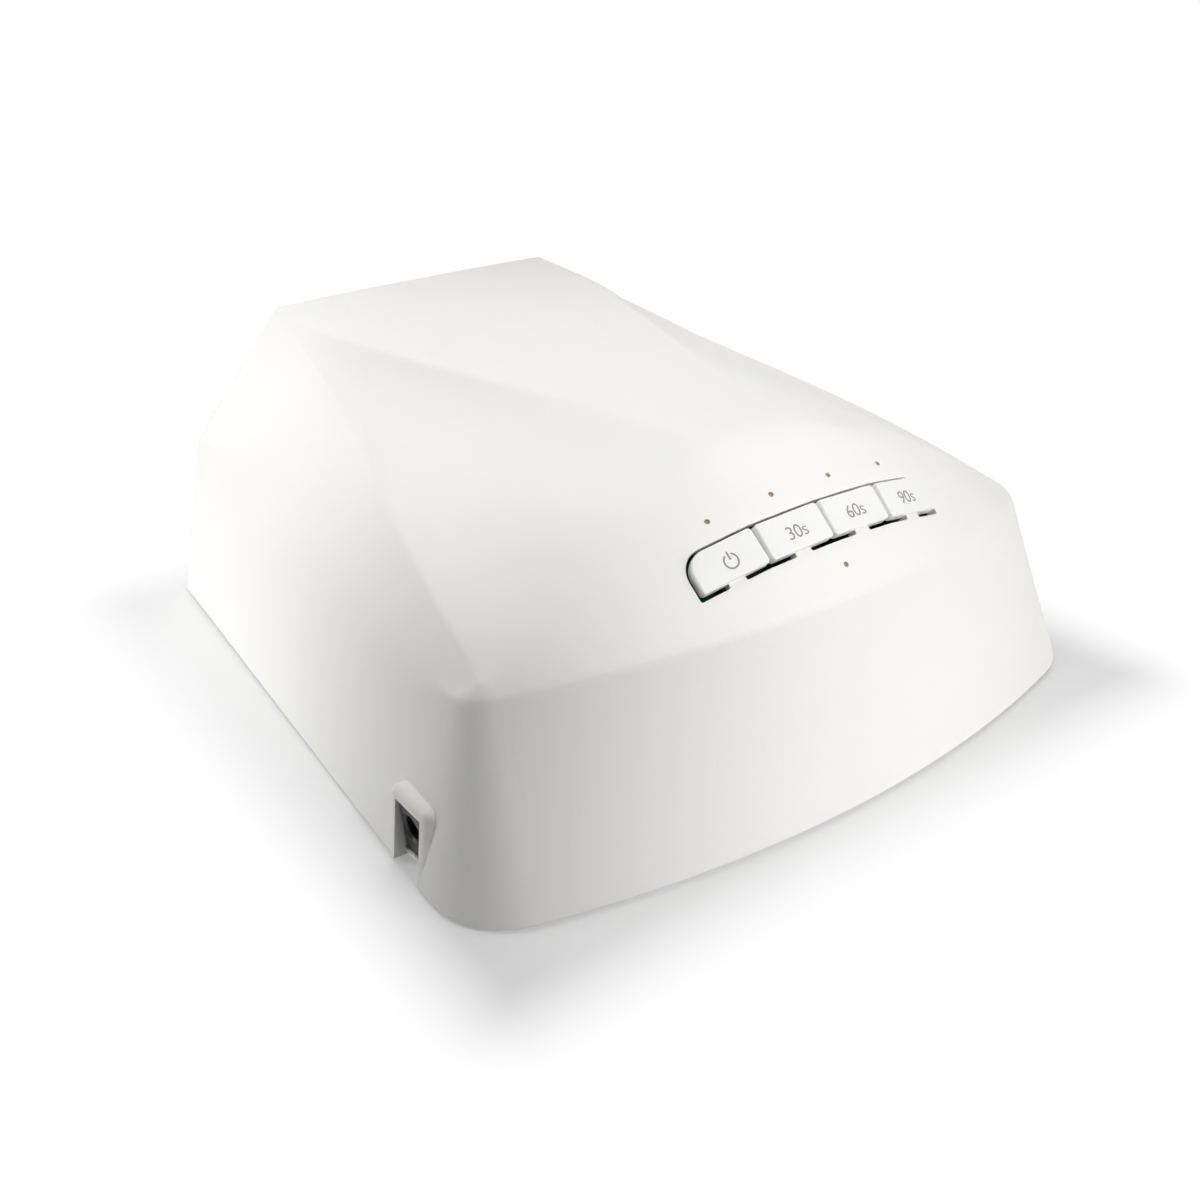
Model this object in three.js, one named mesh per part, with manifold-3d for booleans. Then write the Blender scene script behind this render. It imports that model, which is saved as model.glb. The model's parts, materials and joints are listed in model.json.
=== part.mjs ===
// UV nail lamp: a moulded white housing with four sprung timer keys, a hand cavity and a slide-out tray.
// Millimetres, +Z up. X runs across, -Y is the key side, +Y the hand side, the origin is under the middle.
import * as THREE from 'three';
import { mergeVertices } from 'three/addons/utils/BufferGeometryUtils.js';
import Module from 'manifold-3d';

const wasm = await Module();
wasm.setup();

// Housing
const shellWidth = 200;
const shellDepth = 198.4;
const shellHeight = 80.2;
const topCrown = 0.5;
const wall = 2.4;
const footStand = 1;
const fit = 0.3;
const overrun = 2;
const mergeTolerance = 0.001;

// Lines that the housing is drawn on. Across is a share of half the width, along a share of the depth
// from the key side, up a share of the height.
const topEdgeShares = [[0.464, 1], [0.44, 0.8175], [0.365, 0.676], [0.26, 0.495], [0.176, 0.334],
  [0.12, 0.231]];
const ridgeShares = [[0.495, 1, 0.954], [0.515, 0.878, 0.938], [0.56, 0.752, 0.898], [0.63, 0.599, 0.833],
  [0.689, 0.499, 0.782], [0.743, 0.394, 0.731], [0.793, 0.283, 0.668], [0.822, 0.174, 0.606]];
const panelEdgeShares = [[0.12, 0.231], [0.285, 0.2], [0.475, 0.217], [0.655, 0.181], [0.822, 0.174]];
const baseFarWidthShare = 0.86;
const baseCornerWidthShare = 0.995;
const baseCornerStartShare = 0.167;
const baseCornerEndShare = 0.827;
const beltCornerStartShare = 0.2;
const beltCornerEndShare = 0.815;
const beltFarHeightShare = 0.571;
const beltCornerHeightShare = 0.545;
const beltFrontHeightShare = 0.668;
const baseSweep = 15.6;
const beltSetback = 7;
const beltSweep = 32.6;
const beltDrop = 13.9;
const panelTurnPower = 3;
const panelFallPower = 1.6;
const panelBulge = 4.7;
const sideLeanFar = 0.228;
const sideLeanNear = 0.27;
const scoopDepth = 4;
const scoopRunShare = 0.6;
const swellStartShare = 0.4;
const swellPower = 2;
const topEdgeSoftness = 2.5;
const ridgeSoftnessFar = 8;
const ridgeSoftnessNear = 2.5;
const beltSoftness = 22;
const beltCrispness = 1.2;
const edgeRoomShare = 0.25;
const beltRoomShare = 0.45;

// How finely the housing is divided
const sideSteps = 14;
const cornerSteps = 6;
const roundSides = 12;
const smallSides = 10;
const topRowShares = [0, 0.4, 0.75, 1];
const scoopRowShares = [0.14, 0.3, 0.46, 0.64, 0.82];
const faceRowShares = [0.12, 0.42, 0.75];
const beltRowShares = [0, 0.25, 0.5, 0.75, 1];

// Keys and their lights
const keyPitch = 18.45;
const keyLength = 9;
const keyGap = 0.55;
const keyRaise = 1;
const keyThickness = 2.5;
const keyBevel = 0.7;
const keyCorner = 0.9;
const rowEndCorner = 4.2;
const keyRowShare = 0.67;
const keyRowSweep = 16;
const tongueWidth = 4.4;
const slotHeight = 1.1;
const keyPostRadius = 1.4;
const lightHole = 1.8;
const lightPipe = 1.5;
const lightPipeFlange = 3;
const lightPipeFlangeDepth = 1.2;
const lightReach = 8;
const lightAcrossShares = [-1.44, -0.48, 0.48, 1.44];

// Control board behind the keys
const boardDrop = 12;
const boardThickness = 1.6;
const controlBoardWidth = 70;
const controlBoardLength = 25;
const switchSize = 6;
const switchHeight = 3.4;
const stemDiameter = 3.4;
const stemHeight = 1.4;
const stemSink = 0.8;
const stemTravel = 0.5;
const wellClearance = 0.6;
const boardPostRadius = 2.2;
const boardPostAcross = 17.6;
const boardPostUp = 9;
const boardScrewDiameter = 1.8;
const boardScrewHead = 3.6;
const boardScrewHeadHeight = 1.2;
const boardScrewLength = 6;
const screwTipShare = 0.4;

// Power socket and its notch in the left wall
const socketAlongShare = 0.2258;
const notchWidth = 10.2;
const notchHeight = 15.9;
const bossWall = 2.7;
const bossRoof = 3.1;
const bossReach = 7;
const bossEdge = 1;
const bossLeanShare = 0.1;
const socketWidth = 9;
const socketHeight = 11;
const socketLength = 14;
const socketRecess = 2.4;
const socketHole = 6.4;
const socketHoleDepth = 9.5;
const socketPin = 2;
const pinTipShare = 0.25;
const socketStand = 3.6;

// Base frame, tray and feet
const railHeight = 3.2;
const floorHeight = 2;
const trayClear = 2;
const trayThickness = 1.8;
const trayLip = 0.9;
const trayLipWidth = 4;
const trayTuck = 2.8;
const trayPull = 11;
const footRadius = 5;
const footRecess = 0.8;
const footAcrossShare = 0.77;
const footAlongShares = [0.17, 0.78];
const screwDiameter = 3;
const screwHead = 6;
const screwHeadHeight = 1;
const screwBore = 3.6;
const screwTowerRadius = 3.2;
const screwTowerHeight = 20;
const frontTowerHeight = 24;
const screwLength = 12;
const frontTowerShare = 0.56;
const sideTowerShares = [0.52, 0.925];
const towerBite = 1.6;

// Hand cavity
const linerWall = 1.6;
const linerSetback = 1.2;
const linerNearClear = 1.8;
const linerFootClear = 14;
const linerShoulderClear = 10.6;
const linerShoulderDrop = 4.8;
const linerRoofClear = 8.4;
const linerRoofDrop = 18.2;
const bezelThickness = 2.5;
const bezelSetback = 1.2;

// Lamps and their boards
const lampBoardWidth = 24;
const lampBoardMargin = 17.6;
const lampPitchShare = 0.305;
const lampAcross = 13;
const lampHole = 8;
const lampBase = 7;
const lampBaseHeight = 1;
const lampLens = 5;
const lampLensHeight = 1.6;
const lampDomeShares = [0.35, 0.7, 1];

// Power board
const powerBoardWidth = 42;
const powerBoardLength = 22;
const powerBoardOffset = 14.4;
const capacitorShare = 0.25;
const chokeShare = 0.7;
const capacitorRadius = 4;
const capacitorHeight = 12;
const capacitorGroove = 0.5;
const capacitorGrooveShare = 0.15;
const chokeRadius = 5;
const chokeCoreRadius = 3.5;
const chokeHeight = 7;
const chokeFlange = 1.2;

// Places that follow from the sizes above
const halfWidth = shellWidth / 2;
const nearEdge = -shellDepth / 2;
const farEdge = shellDepth / 2;
const rimHeight = footStand;

const along = (share) => nearEdge + share * shellDepth;
const mix = THREE.MathUtils.lerp;
const point = (x, y, z) => new THREE.Vector3(x, y, z);
const smooth = (t) => THREE.MathUtils.smoothstep(t, 0, 1);
const moved = (x, y, z) => new THREE.Matrix4().makeTranslation(x, y, z);
const between = (a, b) => a.clone().add(b).divideScalar(2);

function lineThrough(shares, height) {
  const points = shares.map(([across, back, up]) =>
    point(across * halfWidth, along(back), rimHeight + (up === undefined ? height : up * shellHeight)));
  return new THREE.CatmullRomCurve3(points, false, 'centripetal');
}

const topEdge = lineThrough(topEdgeShares, shellHeight);
const ridge = lineThrough(ridgeShares, shellHeight);
const topCorner = topEdge.getPointAt(1);
const ridgeEnd = ridge.getPointAt(1);

// The outline of the bottom rim: a side line, a curved front and a rounded corner between them.
const linerFloor = rimHeight + railHeight + fit;
const linerStart = topCorner.y - linerNearClear;
const linerEnd = farEdge - linerSetback;
const baseCorner = point(baseCornerWidthShare * halfWidth, along(baseCornerStartShare), rimHeight);

function baseSide(y) {
  const t = (y - baseCorner.y) / (farEdge - baseCorner.y);
  return point(mix(baseCorner.x, baseFarWidthShare * halfWidth, t), y, rimHeight);
}

function baseFront(x) {
  return point(x, nearEdge + baseSweep * (x / halfWidth) ** 2, rimHeight);
}

// The belt is the edge where the skirt of the housing meets the faces above it.
function beltSide(y) {
  const t = (y - along(beltCornerStartShare)) / (farEdge - along(beltCornerStartShare));
  const up = mix(beltCornerHeightShare, beltFarHeightShare, t) * shellHeight;
  const lean = mix(sideLeanNear, sideLeanFar, t);
  return point(baseSide(y).x - lean * up, y, rimHeight + up);
}

function beltFront(x) {
  const bow = (x / halfWidth) ** 2;
  const up = beltFrontHeightShare * shellHeight - beltDrop * bow;
  return point(x, nearEdge + beltSetback + beltSweep * bow, rimHeight + up);
}

// A rounded corner in plan, tangent to the lines that it joins.
function cornerCurve(start, startStep, end, endStep) {
  const a = start.clone().sub(startStep);
  const b = end.clone().sub(endStep);
  const cross = a.x * b.y - a.y * b.x;
  const gap = end.clone().sub(start);
  const reach = (gap.x * b.y - gap.y * b.x) / cross;
  const tip = start.clone().addScaledVector(a, reach);
  tip.z = (start.z + end.z) / 2;
  return new THREE.QuadraticBezierCurve3(start, tip, end);
}

const beltCornerStart = beltSide(along(beltCornerStartShare));
const beltCornerEnd = beltFront(beltCornerEndShare * halfWidth);
const baseCornerCurve = cornerCurve(baseCorner, baseSide(baseCorner.y + wall),
  baseFront(baseCornerEndShare * halfWidth), baseFront(baseCornerEndShare * halfWidth - wall));
const beltCornerCurve = cornerCurve(beltCornerStart, beltSide(beltCornerStart.y + wall),
  beltCornerEnd, beltFront(beltCornerEnd.x - wall));

// The highest line of the key panel's surface, which runs on from the near edge of the flat top.
function panelCrest(x) {
  if (x <= topCorner.x) {
    return point(x, topCorner.y, topCorner.z + topCrown * (1 - (x / topCorner.x) ** 2));
  }
  const t = (x - topCorner.x) / (ridgeEnd.x - topCorner.x);
  const z = mix(topCorner.z, ridgeEnd.z, t ** panelFallPower);
  return point(x, mix(topCorner.y, ridgeEnd.y, t ** panelTurnPower), z);
}

// The key panel's surface: it falls from its crest to the belt and is bowed outwards in the middle.
function panelAt(x, y) {
  const side = Math.abs(x);
  const high = panelCrest(side);
  const low = beltFront(side * beltCornerEnd.x / ridgeEnd.x);
  const t = (high.y - y) / (high.y - low.y);
  const full = topCorner.y - beltFront(0).y;
  const bow = panelBulge * (high.y - low.y) / full * 4 * t * (1 - t);
  return point(x, y, mix(high.z, low.z, t) + bow);
}

// The line on the panel's surface where the scooped shoulder starts.
const panelEdge = lineThrough(panelEdgeShares, 0);

function panelEdgePoint(t) {
  const place = panelEdge.getPoint(t);
  return panelAt(place.x, place.y);
}

// The middle line of the key row on the panel, moved up or down the panel by a distance.
function keyRow(x, offset) {
  const y = mix(topCorner.y, beltFront(0).y, keyRowShare) + keyRowSweep * (x / halfWidth) ** 2;
  return panelAt(x, y + offset);
}

// A frame on the panel: X along the key row, Y up the slope, Z straight out.
function panelFrame(x, offset) {
  const place = keyRow(x, offset);
  const across = keyRow(x + keyGap, offset).sub(keyRow(x - keyGap, offset)).normalize();
  const up = keyRow(x, offset + keyGap).sub(keyRow(x, offset - keyGap)).normalize();
  const out = across.clone().cross(up).normalize();
  return new THREE.Matrix4().makeBasis(across, out.clone().cross(across), out).setPosition(place);
}

// The scooped shoulder between the edge of the top and the ridge. It is flat at the hand side, hollow in
// the middle, and swells more and more steeply until it meets the key panel in a crease.
function shoulderPoint(s, t) {
  const from = topEdge.getPointAt(s);
  const to = ridge.getPointAt(s);
  const chord = from.lerp(to, t);
  const swell = (Math.max(s - swellStartShare, 0) / (1 - swellStartShare)) ** swellPower;
  const lastChord = topCorner.clone().lerp(ridgeEnd, t);
  const hollow = scoopDepth * smooth(s / scoopRunShare) * (1 - swell) * 4 * t * (1 - t);
  return chord.addScaledVector(panelEdgePoint(t).sub(lastChord), swell).add(point(0, 0, -hollow));
}

// Points round a softened corner, which starts and ends one tangent length from it.
function softCorner(before, corner, after, tangent, shares) {
  const start = corner.clone().add(before.clone().sub(corner).setLength(tangent));
  const end = corner.clone().add(after.clone().sub(corner).setLength(tangent));
  const curve = new THREE.QuadraticBezierCurve3(start, corner, end);
  return shares.map((share) => curve.getPoint(share));
}

// One line of points from the middle of the top, over its edge and the shoulder, to the ridge.
function upperColumn(s) {
  const edge = topEdge.getPointAt(s);
  const far = ridge.getPointAt(s);
  const span = edge.distanceTo(far);
  const edgeReach = Math.min(topEdgeSoftness, span * edgeRoomShare);
  const ridgeReach = Math.min(mix(ridgeSoftnessFar, ridgeSoftnessNear, s), span * edgeRoomShare);
  const top = topRowShares.map((share) => {
    const x = share * (edge.x - edgeReach);
    return point(x, edge.y, edge.z + topCrown * (1 - (x / edge.x) ** 2));
  });
  const outside = shoulderPoint(s, edgeReach / span);
  const soft = s < 1 ? between(edge, between(top[top.length - 1], outside)) : edge;
  const first = edgeReach / span;
  const last = 1 - ridgeReach / span;
  const rows = scoopRowShares.map((share) => shoulderPoint(s, mix(first, last, share)));
  const before = shoulderPoint(s, last);
  return { points: [...top, soft, outside, ...rows, before], before, ridgeReach };
}

// One line of points from the top of a face, round the belt, to the rim.
function lowerColumn(top, belt, base, softness, faceAt) {
  const room = Math.min(belt.distanceTo(top), belt.distanceTo(base)) * beltRoomShare;
  const reach = Math.min(softness, room);
  const approach = faceAt(1 - reach / belt.distanceTo(top));
  const face = faceRowShares.map((share) => faceAt(share * (1 - reach / belt.distanceTo(top))));
  const turn = softCorner(approach, belt, base, reach, beltRowShares);
  turn[0] = approach;
  return [top, ...face, ...turn, base];
}

function housingColumns() {
  const upper = [];
  const lower = [];
  for (let i = 0; i <= sideSteps; i += 1) {
    const s = i / sideSteps;
    const { points, before, ridgeReach } = upperColumn(s);
    const top = ridge.getPointAt(s);
    const belt = beltSide(mix(farEdge, beltCornerStart.y, s));
    const base = baseSide(mix(farEdge, baseCorner.y, s));
    const after = top.clone().add(belt.clone().sub(top).setLength(ridgeReach));
    const soft = i < sideSteps ? between(top, between(before, after)) : top;
    const softness = Math.max(beltCrispness, beltSoftness * Math.sin(Math.PI * s));
    const faceAt = (t) => top.clone().lerp(belt, t);
    upper.push([...points, soft]);
    lower.push([soft, ...lowerColumn(top, belt, base, softness, faceAt).slice(1)]);
  }
  for (let i = 1; i <= cornerSteps; i += 1) {
    const t = i / cornerSteps;
    const belt = beltCornerCurve.getPoint(t);
    const faceAt = (share) => ridgeEnd.clone().lerp(belt, share);
    lower.push(lowerColumn(ridgeEnd, belt, baseCornerCurve.getPoint(t), beltCrispness, faceAt));
  }
  const last = upper[sideSteps];
  for (let i = last.length - 2; i >= 0; i -= 1) {
    const top = last[i];
    const share = top.x / ridgeEnd.x;
    const belt = beltFront(share * beltCornerEnd.x);
    const base = baseFront(share * baseCornerEndShare * halfWidth);
    const rise = top.z - panelAt(top.x, top.y).z;
    const faceAt = (t) => {
      const onLine = top.clone().lerp(belt, t);
      return panelAt(onLine.x, onLine.y).add(point(0, 0, rise * (1 - t)));
    };
    lower.push(lowerColumn(top, belt, base, beltCrispness, faceAt));
  }
  return { upper, lower };
}

// Triangles of a grid of points, and of its mirror image across the middle.
function gridTriangles(columns, triangles) {
  for (let i = 0; i + 1 < columns.length; i += 1) {
    for (let j = 0; j + 1 < columns[i].length; j += 1) {
      const [a, b, c, d] = [columns[i][j], columns[i][j + 1], columns[i + 1][j + 1], columns[i + 1][j]];
      triangles.push([a, c, b], [a, d, c]);
      const [e, f, g, h] = [a, b, c, d].map((p) => point(-p.x, p.y, p.z));
      triangles.push([e, f, g], [e, g, h]);
    }
  }
}

function weld(triangles) {
  const positions = new Float32Array(triangles.flat().flatMap((p) => [p.x, p.y, p.z]));
  const loose = new THREE.BufferGeometry();
  loose.setAttribute('position', new THREE.BufferAttribute(positions, 3));
  return dropFlat(mergeVertices(loose, mergeTolerance));
}

function dropFlat(geometry) {
  const index = Array.from(geometry.index.array);
  const kept = [];
  for (let i = 0; i < index.length; i += 3) {
    const [a, b, c] = index.slice(i, i + 3);
    if (a !== b && b !== c && a !== c) kept.push(a, b, c);
  }
  geometry.setIndex(kept);
  return geometry;
}

// Gives an open skin its thickness: an inner skin, and a flat rim along the bottom and the hand side.
function thicken(skin, thickness) {
  skin.computeVertexNormals();
  const outer = skin.getAttribute('position');
  const normal = skin.getAttribute('normal');
  const index = Array.from(skin.index.array);
  const corner = (i) => point(outer.getX(i), outer.getY(i), outer.getZ(i));
  const inner = (i) => {
    const p = corner(i);
    const outward = point(normal.getX(i), normal.getY(i), normal.getZ(i));
    const under = p.clone().addScaledVector(outward, -thickness);
    if (p.z <= rimHeight + mergeTolerance) under.z = p.z;
    if (p.y >= farEdge - mergeTolerance) under.y = p.y;
    return under;
  };
  const triangles = [];
  const edges = new Map();
  for (let i = 0; i < index.length; i += 3) {
    const face = index.slice(i, i + 3);
    triangles.push(face.map(corner), [...face].reverse().map(inner));
    face.forEach((a, k) => edges.set(`${a} ${face[(k + 1) % 3]}`, [a, face[(k + 1) % 3]]));
  }
  edges.forEach(([a, b]) => {
    if (edges.has(`${b} ${a}`)) return;
    triangles.push([corner(b), corner(a), inner(a)], [corner(b), inner(a), inner(b)]);
  });
  return weld(triangles);
}

// Joining and cutting closed meshes
function toSolid(geometry) {
  const bare = new THREE.BufferGeometry();
  bare.setAttribute('position', geometry.getAttribute('position'));
  if (geometry.index) bare.setIndex(geometry.index);
  const merged = dropFlat(mergeVertices(bare, mergeTolerance));
  return new wasm.Manifold(new wasm.Mesh({
    numProp: 3,
    vertProperties: new Float32Array(merged.getAttribute('position').array),
    triVerts: new Uint32Array(merged.index.array),
  }));
}

function toGeometry(solid) {
  const mesh = solid.getMesh();
  const geometry = new THREE.BufferGeometry();
  geometry.setAttribute('position', new THREE.BufferAttribute(mesh.vertProperties, 3));
  geometry.setIndex(new THREE.BufferAttribute(mesh.triVerts, 1));
  return geometry;
}

function combine(body, added, cut) {
  let solid = toSolid(body);
  added.forEach((geometry) => { solid = solid.add(toSolid(geometry)); });
  cut.forEach((geometry) => { solid = solid.subtract(toSolid(geometry)); });
  return toGeometry(solid);
}

// Plain shapes
function block(x0, x1, y0, y1, z0, z1) {
  const box = new THREE.BoxGeometry(x1 - x0, y1 - y0, z1 - z0);
  return box.translate((x0 + x1) / 2, (y0 + y1) / 2, (z0 + z1) / 2);
}

function rod(radius, z0, z1, sides = roundSides) {
  const cylinder = new THREE.CylinderGeometry(radius, radius, z1 - z0, sides);
  return cylinder.rotateX(Math.PI / 2).translate(0, 0, (z0 + z1) / 2);
}

function turned(profile, sides = roundSides) {
  const points = profile.map(([radius, height]) => new THREE.Vector2(radius, height));
  return new THREE.LatheGeometry(points, sides).rotateX(Math.PI / 2);
}

function polygon(points) {
  return new THREE.Shape(points.map(([x, y]) => new THREE.Vector2(x, y)));
}

function slab(shape, z0, z1) {
  const options = { depth: z1 - z0, bevelEnabled: false, curveSegments: 6 };
  return new THREE.ExtrudeGeometry(shape, options).translate(0, 0, z0);
}

// A section drawn in X and Z, run along Y.
function runAlong(shape, y0, y1) {
  return slab(shape, 0, y1 - y0).rotateX(Math.PI / 2).translate(0, y1, 0);
}

function insetLoop(points, distance) {
  return points.map(([x, y], i) => {
    const [px, py] = points[(i + points.length - 1) % points.length];
    const [nx, ny] = points[(i + 1) % points.length];
    const before = new THREE.Vector2(x - px, y - py).normalize();
    const after = new THREE.Vector2(nx - x, ny - y).normalize();
    const inward = new THREE.Vector2(-before.y - after.y, before.x + after.x);
    const spread = 1 + before.dot(after);
    return [x + inward.x * distance / spread, y + inward.y * distance / spread];
  });
}

function mirrored(points) {
  return [...points, ...points.filter(([x]) => x !== 0).map(([x, y]) => [-x, y]).reverse()];
}

// Keys
const keys = [
  { name: 'power', place: -1.5 },
  { name: '30s', place: -0.5 },
  { name: '60s', place: 0.5 },
  { name: '90s', place: 1.5 },
].map((key) => ({ ...key, across: key.place * keyPitch, frame: panelFrame(key.place * keyPitch, 0) }));
const keyWidth = keyPitch - keyGap;
const boardFrame = panelFrame(0, 0);

function keyOutline(key, grow) {
  const half = keyWidth / 2 + grow;
  const high = keyLength / 2 + grow;
  const end = key.place < -1 ? -1 : Number(key.place > 1);
  const radius = (side) => (side === end ? rowEndCorner : keyCorner) + grow;
  const shape = new THREE.Shape();
  const low = keyCorner + grow;
  shape.moveTo(-half + low, -high);
  shape.lineTo(half - low, -high);
  shape.absarc(half - low, -high + low, low, -Math.PI / 2, 0);
  shape.absarc(half - radius(1), high - radius(1), radius(1), 0, Math.PI / 2);
  shape.absarc(-half + radius(-1), high - radius(-1), radius(-1), Math.PI / 2, Math.PI);
  shape.absarc(-half + low, -high + low, low, Math.PI, Math.PI * 1.5);
  return shape;
}

const keyMiddle = keyRaise - keyThickness / 2;

// Where the middle of a key, or the mouth of a light hole, lies in the control board's frame.
function overBoard(frame, depth) {
  return point(0, 0, depth).applyMatrix4(frame).applyMatrix4(boardFrame.clone().invert());
}

function keyCap(key) {
  const depth = keyThickness - 2 * keyBevel;
  const cap = new THREE.ExtrudeGeometry(keyOutline(key, -keyBevel), {
    depth, bevelThickness: keyBevel, bevelSize: keyBevel, bevelSegments: 2, curveSegments: 4,
  }).translate(0, 0, keyBevel + keyRaise - keyThickness);
  const centre = overBoard(key.frame, keyMiddle);
  const foot = -boardDrop + switchHeight + stemHeight + fit;
  const post = rod(keyPostRadius, foot, centre.z, smallSides).translate(centre.x, centre.y, 0);
  return combine(cap, [post.applyMatrix4(boardFrame).applyMatrix4(key.frame.clone().invert())], []);
}

function keyCuts(key) {
  const high = wall + keyRaise;
  const window = slab(keyOutline(key, keyGap), -high - wall, high);
  const half = keyWidth / 2 + keyGap;
  const foot = -keyLength / 2;
  const slots = [-1, 1].map((side) => block(Math.min(side * half, side * tongueWidth / 2),
    Math.max(side * half, side * tongueWidth / 2), foot - slotHeight, foot + keyCorner, -high - wall, high));
  const tongue = block(-tongueWidth / 2, tongueWidth / 2, foot - keyGap - overrun, foot - fit,
    -wall * 2 - high, high + wall);
  const trimmed = combine(window, [], [tongue]);
  return [trimmed, ...slots].map((geometry) => geometry.applyMatrix4(key.frame));
}

// Places of the indicator lights, four above the keys and one below
const lights = [
  ...lightAcrossShares.map((share) => ({ x: share * keyPitch, offset: lightReach })),
  { x: 0, offset: -lightReach },
].map((light, i) => ({
  ...light, name: `light_pipe_${i + 1}`, frame: panelFrame(light.x, light.offset),
}));

function lightGuide(light) {
  const foot = lightPipeFlangeDepth - boardDrop - overBoard(light.frame, 0).z;
  const flange = -wall - 2 * fit;
  return turned([[0, foot], [lightPipe / 2, foot], [lightPipe / 2, flange - lightPipeFlangeDepth],
    [lightPipeFlange / 2, flange - lightPipeFlangeDepth], [lightPipeFlange / 2, flange],
    [lightPipe / 2, flange], [lightPipe / 2, 0], [0, 0]], smallSides);
}

// Screw towers stand against the wall at these places, mirrored left and right.
function towerPlaces() {
  const inward = wall + screwTowerRadius - towerBite;
  const frontX = frontTowerShare * halfWidth;
  const rise = frontTowerHeight / (beltFront(frontX).z - rimHeight);
  const frontY = mix(baseFront(frontX).y, beltFront(frontX).y, rise) + inward;
  const front = { x: frontX, y: frontY, height: frontTowerHeight, floor: floorHeight };
  const sides = sideTowerShares.map((share) => {
    const y = along(share);
    const t = screwTowerHeight / (beltSide(y).z - rimHeight);
    const x = mix(baseSide(y).x, beltSide(y).x, t) - inward;
    return { x, y, height: screwTowerHeight, floor: railHeight };
  });
  return [front, ...sides].flatMap((place) => [-1, 1].map((side) => ({ ...place, x: side * place.x })));
}

const screwPlaces = towerPlaces();

const socketY = along(socketAlongShare);
const archPoints = [
  [baseSide(farEdge).x - linerFootClear, linerFloor],
  [beltSide(farEdge).x - linerShoulderClear, beltSide(farEdge).z - linerShoulderDrop],
  [topEdge.getPointAt(0).x - linerRoofClear, topEdge.getPointAt(0).z - linerRoofDrop],
];
const trayWidth = 2 * (archPoints[0][0] - trayClear);
const socketFace = -(baseSide(socketY).x - socketRecess - bossEdge);
const bossBack = bossReach + bossLeanShare * railHeight - baseSide(socketY).x;
const socketFloor = rimHeight + socketStand + fit;
const socketCentre = socketFloor + socketHeight / 2;

function socketBoss() {
  const half = notchWidth / 2 + bossWall;
  const high = notchHeight + bossRoof;
  const shape = new THREE.Shape();
  const round = bossWall - bossEdge;
  shape.moveTo(-half + bossEdge, -overrun);
  shape.lineTo(half - bossEdge, -overrun);
  shape.lineTo(half - bossEdge, high - bossEdge - round);
  shape.absarc(half - bossEdge - round, high - bossEdge - round, round, 0, Math.PI / 2);
  shape.absarc(-half + bossEdge + round, high - bossEdge - round, round, Math.PI / 2, Math.PI);
  const boss = new THREE.ExtrudeGeometry(shape, {
    depth: bossReach - 2 * bossEdge, bevelThickness: bossEdge, bevelSize: bossEdge, bevelSegments: 2,
    curveSegments: 3,
  }).translate(0, 0, bossEdge - bossReach);
  const lean = Math.atan(bossLeanShare);
  const frame = new THREE.Matrix4().makeBasis(point(0, -1, 0), point(Math.sin(lean), 0, Math.cos(lean)),
    point(-Math.cos(lean), 0, Math.sin(lean)));
  frame.setPosition(-baseSide(socketY).x, socketY, rimHeight);
  const below = block(-shellWidth, 0, -halfWidth, 0, -shellHeight, rimHeight);
  return combine(boss.applyMatrix4(frame), [], [below]);
}

function socketNotch() {
  const half = notchWidth / 2;
  return block(-halfWidth - overrun, -halfWidth + socketLength, socketY - half, socketY + half,
    rimHeight - overrun, rimHeight + notchHeight);
}

function topShell() {
  const { upper, lower } = housingColumns();
  const triangles = [];
  gridTriangles(upper, triangles);
  gridTriangles(lower, triangles);
  const shell = thicken(weld(triangles), wall);
  const towers = screwPlaces.map(({ x, y, height, floor }) =>
    rod(screwTowerRadius, rimHeight + floor + fit, rimHeight + height).translate(x, y, 0));
  const bores = screwPlaces.map(({ x, y }) =>
    rod(screwBore / 2, 0, rimHeight + screwLength + overrun, smallSides).translate(x, y, 0));
  const postTop = -wall;
  const posts = [-1, 1].map((side) => rod(boardPostRadius, -boardDrop + fit, postTop, smallSides)
    .translate(side * boardPostAcross, boardPostUp, 0).applyMatrix4(boardFrame));
  const postBores = [-1, 1].map((side) =>
    rod(boardScrewDiameter / 2 + fit, -boardDrop - overrun, -boardDrop + boardScrewLength, smallSides)
      .translate(side * boardPostAcross, boardPostUp, 0).applyMatrix4(boardFrame));
  const lightHoles = lights.map((light) =>
    rod(lightHole / 2, -wall - overrun, overrun, smallSides).applyMatrix4(light.frame));
  return combine(shell, [socketBoss(), ...towers, ...posts],
    [socketNotch(), ...bores, ...postBores, ...keys.flatMap(keyCuts), ...lightHoles]);
}

// Control board and its switches
function controlBoard() {
  const half = controlBoardWidth / 2;
  const high = controlBoardLength / 2;
  const cut = keyLength / 2;
  const outline = polygon([[-half, -high], [half, -high], [half, high - cut], [half - cut, high],
    [-half + cut, high], [-half, high - cut]]);
  const holes = [-1, 1].map((side) =>
    rod(boardScrewDiameter / 2 + fit, -overrun - boardThickness, overrun, smallSides)
      .translate(side * boardPostAcross, boardPostUp, 0));
  return combine(slab(outline, -boardThickness, 0), [], holes);
}

function onBoard(x, y, z) {
  return boardFrame.clone().multiply(moved(x, y, z - boardDrop));
}

function overSwitch(key) {
  const centre = overBoard(key.frame, keyMiddle);
  return onBoard(centre.x, centre.y, 0);
}

function switchBody() {
  const half = switchSize / 2;
  const body = block(-half, half, -half, half, fit, switchHeight);
  const wellFloor = switchHeight - stemSink - stemTravel;
  const well = rod(stemDiameter / 2 + wellClearance, wellFloor, switchHeight + overrun, smallSides);
  return combine(body, [], [well]);
}

function switchStem() {
  return rod(stemDiameter / 2, switchHeight - stemSink, switchHeight + stemHeight, smallSides);
}

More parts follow.
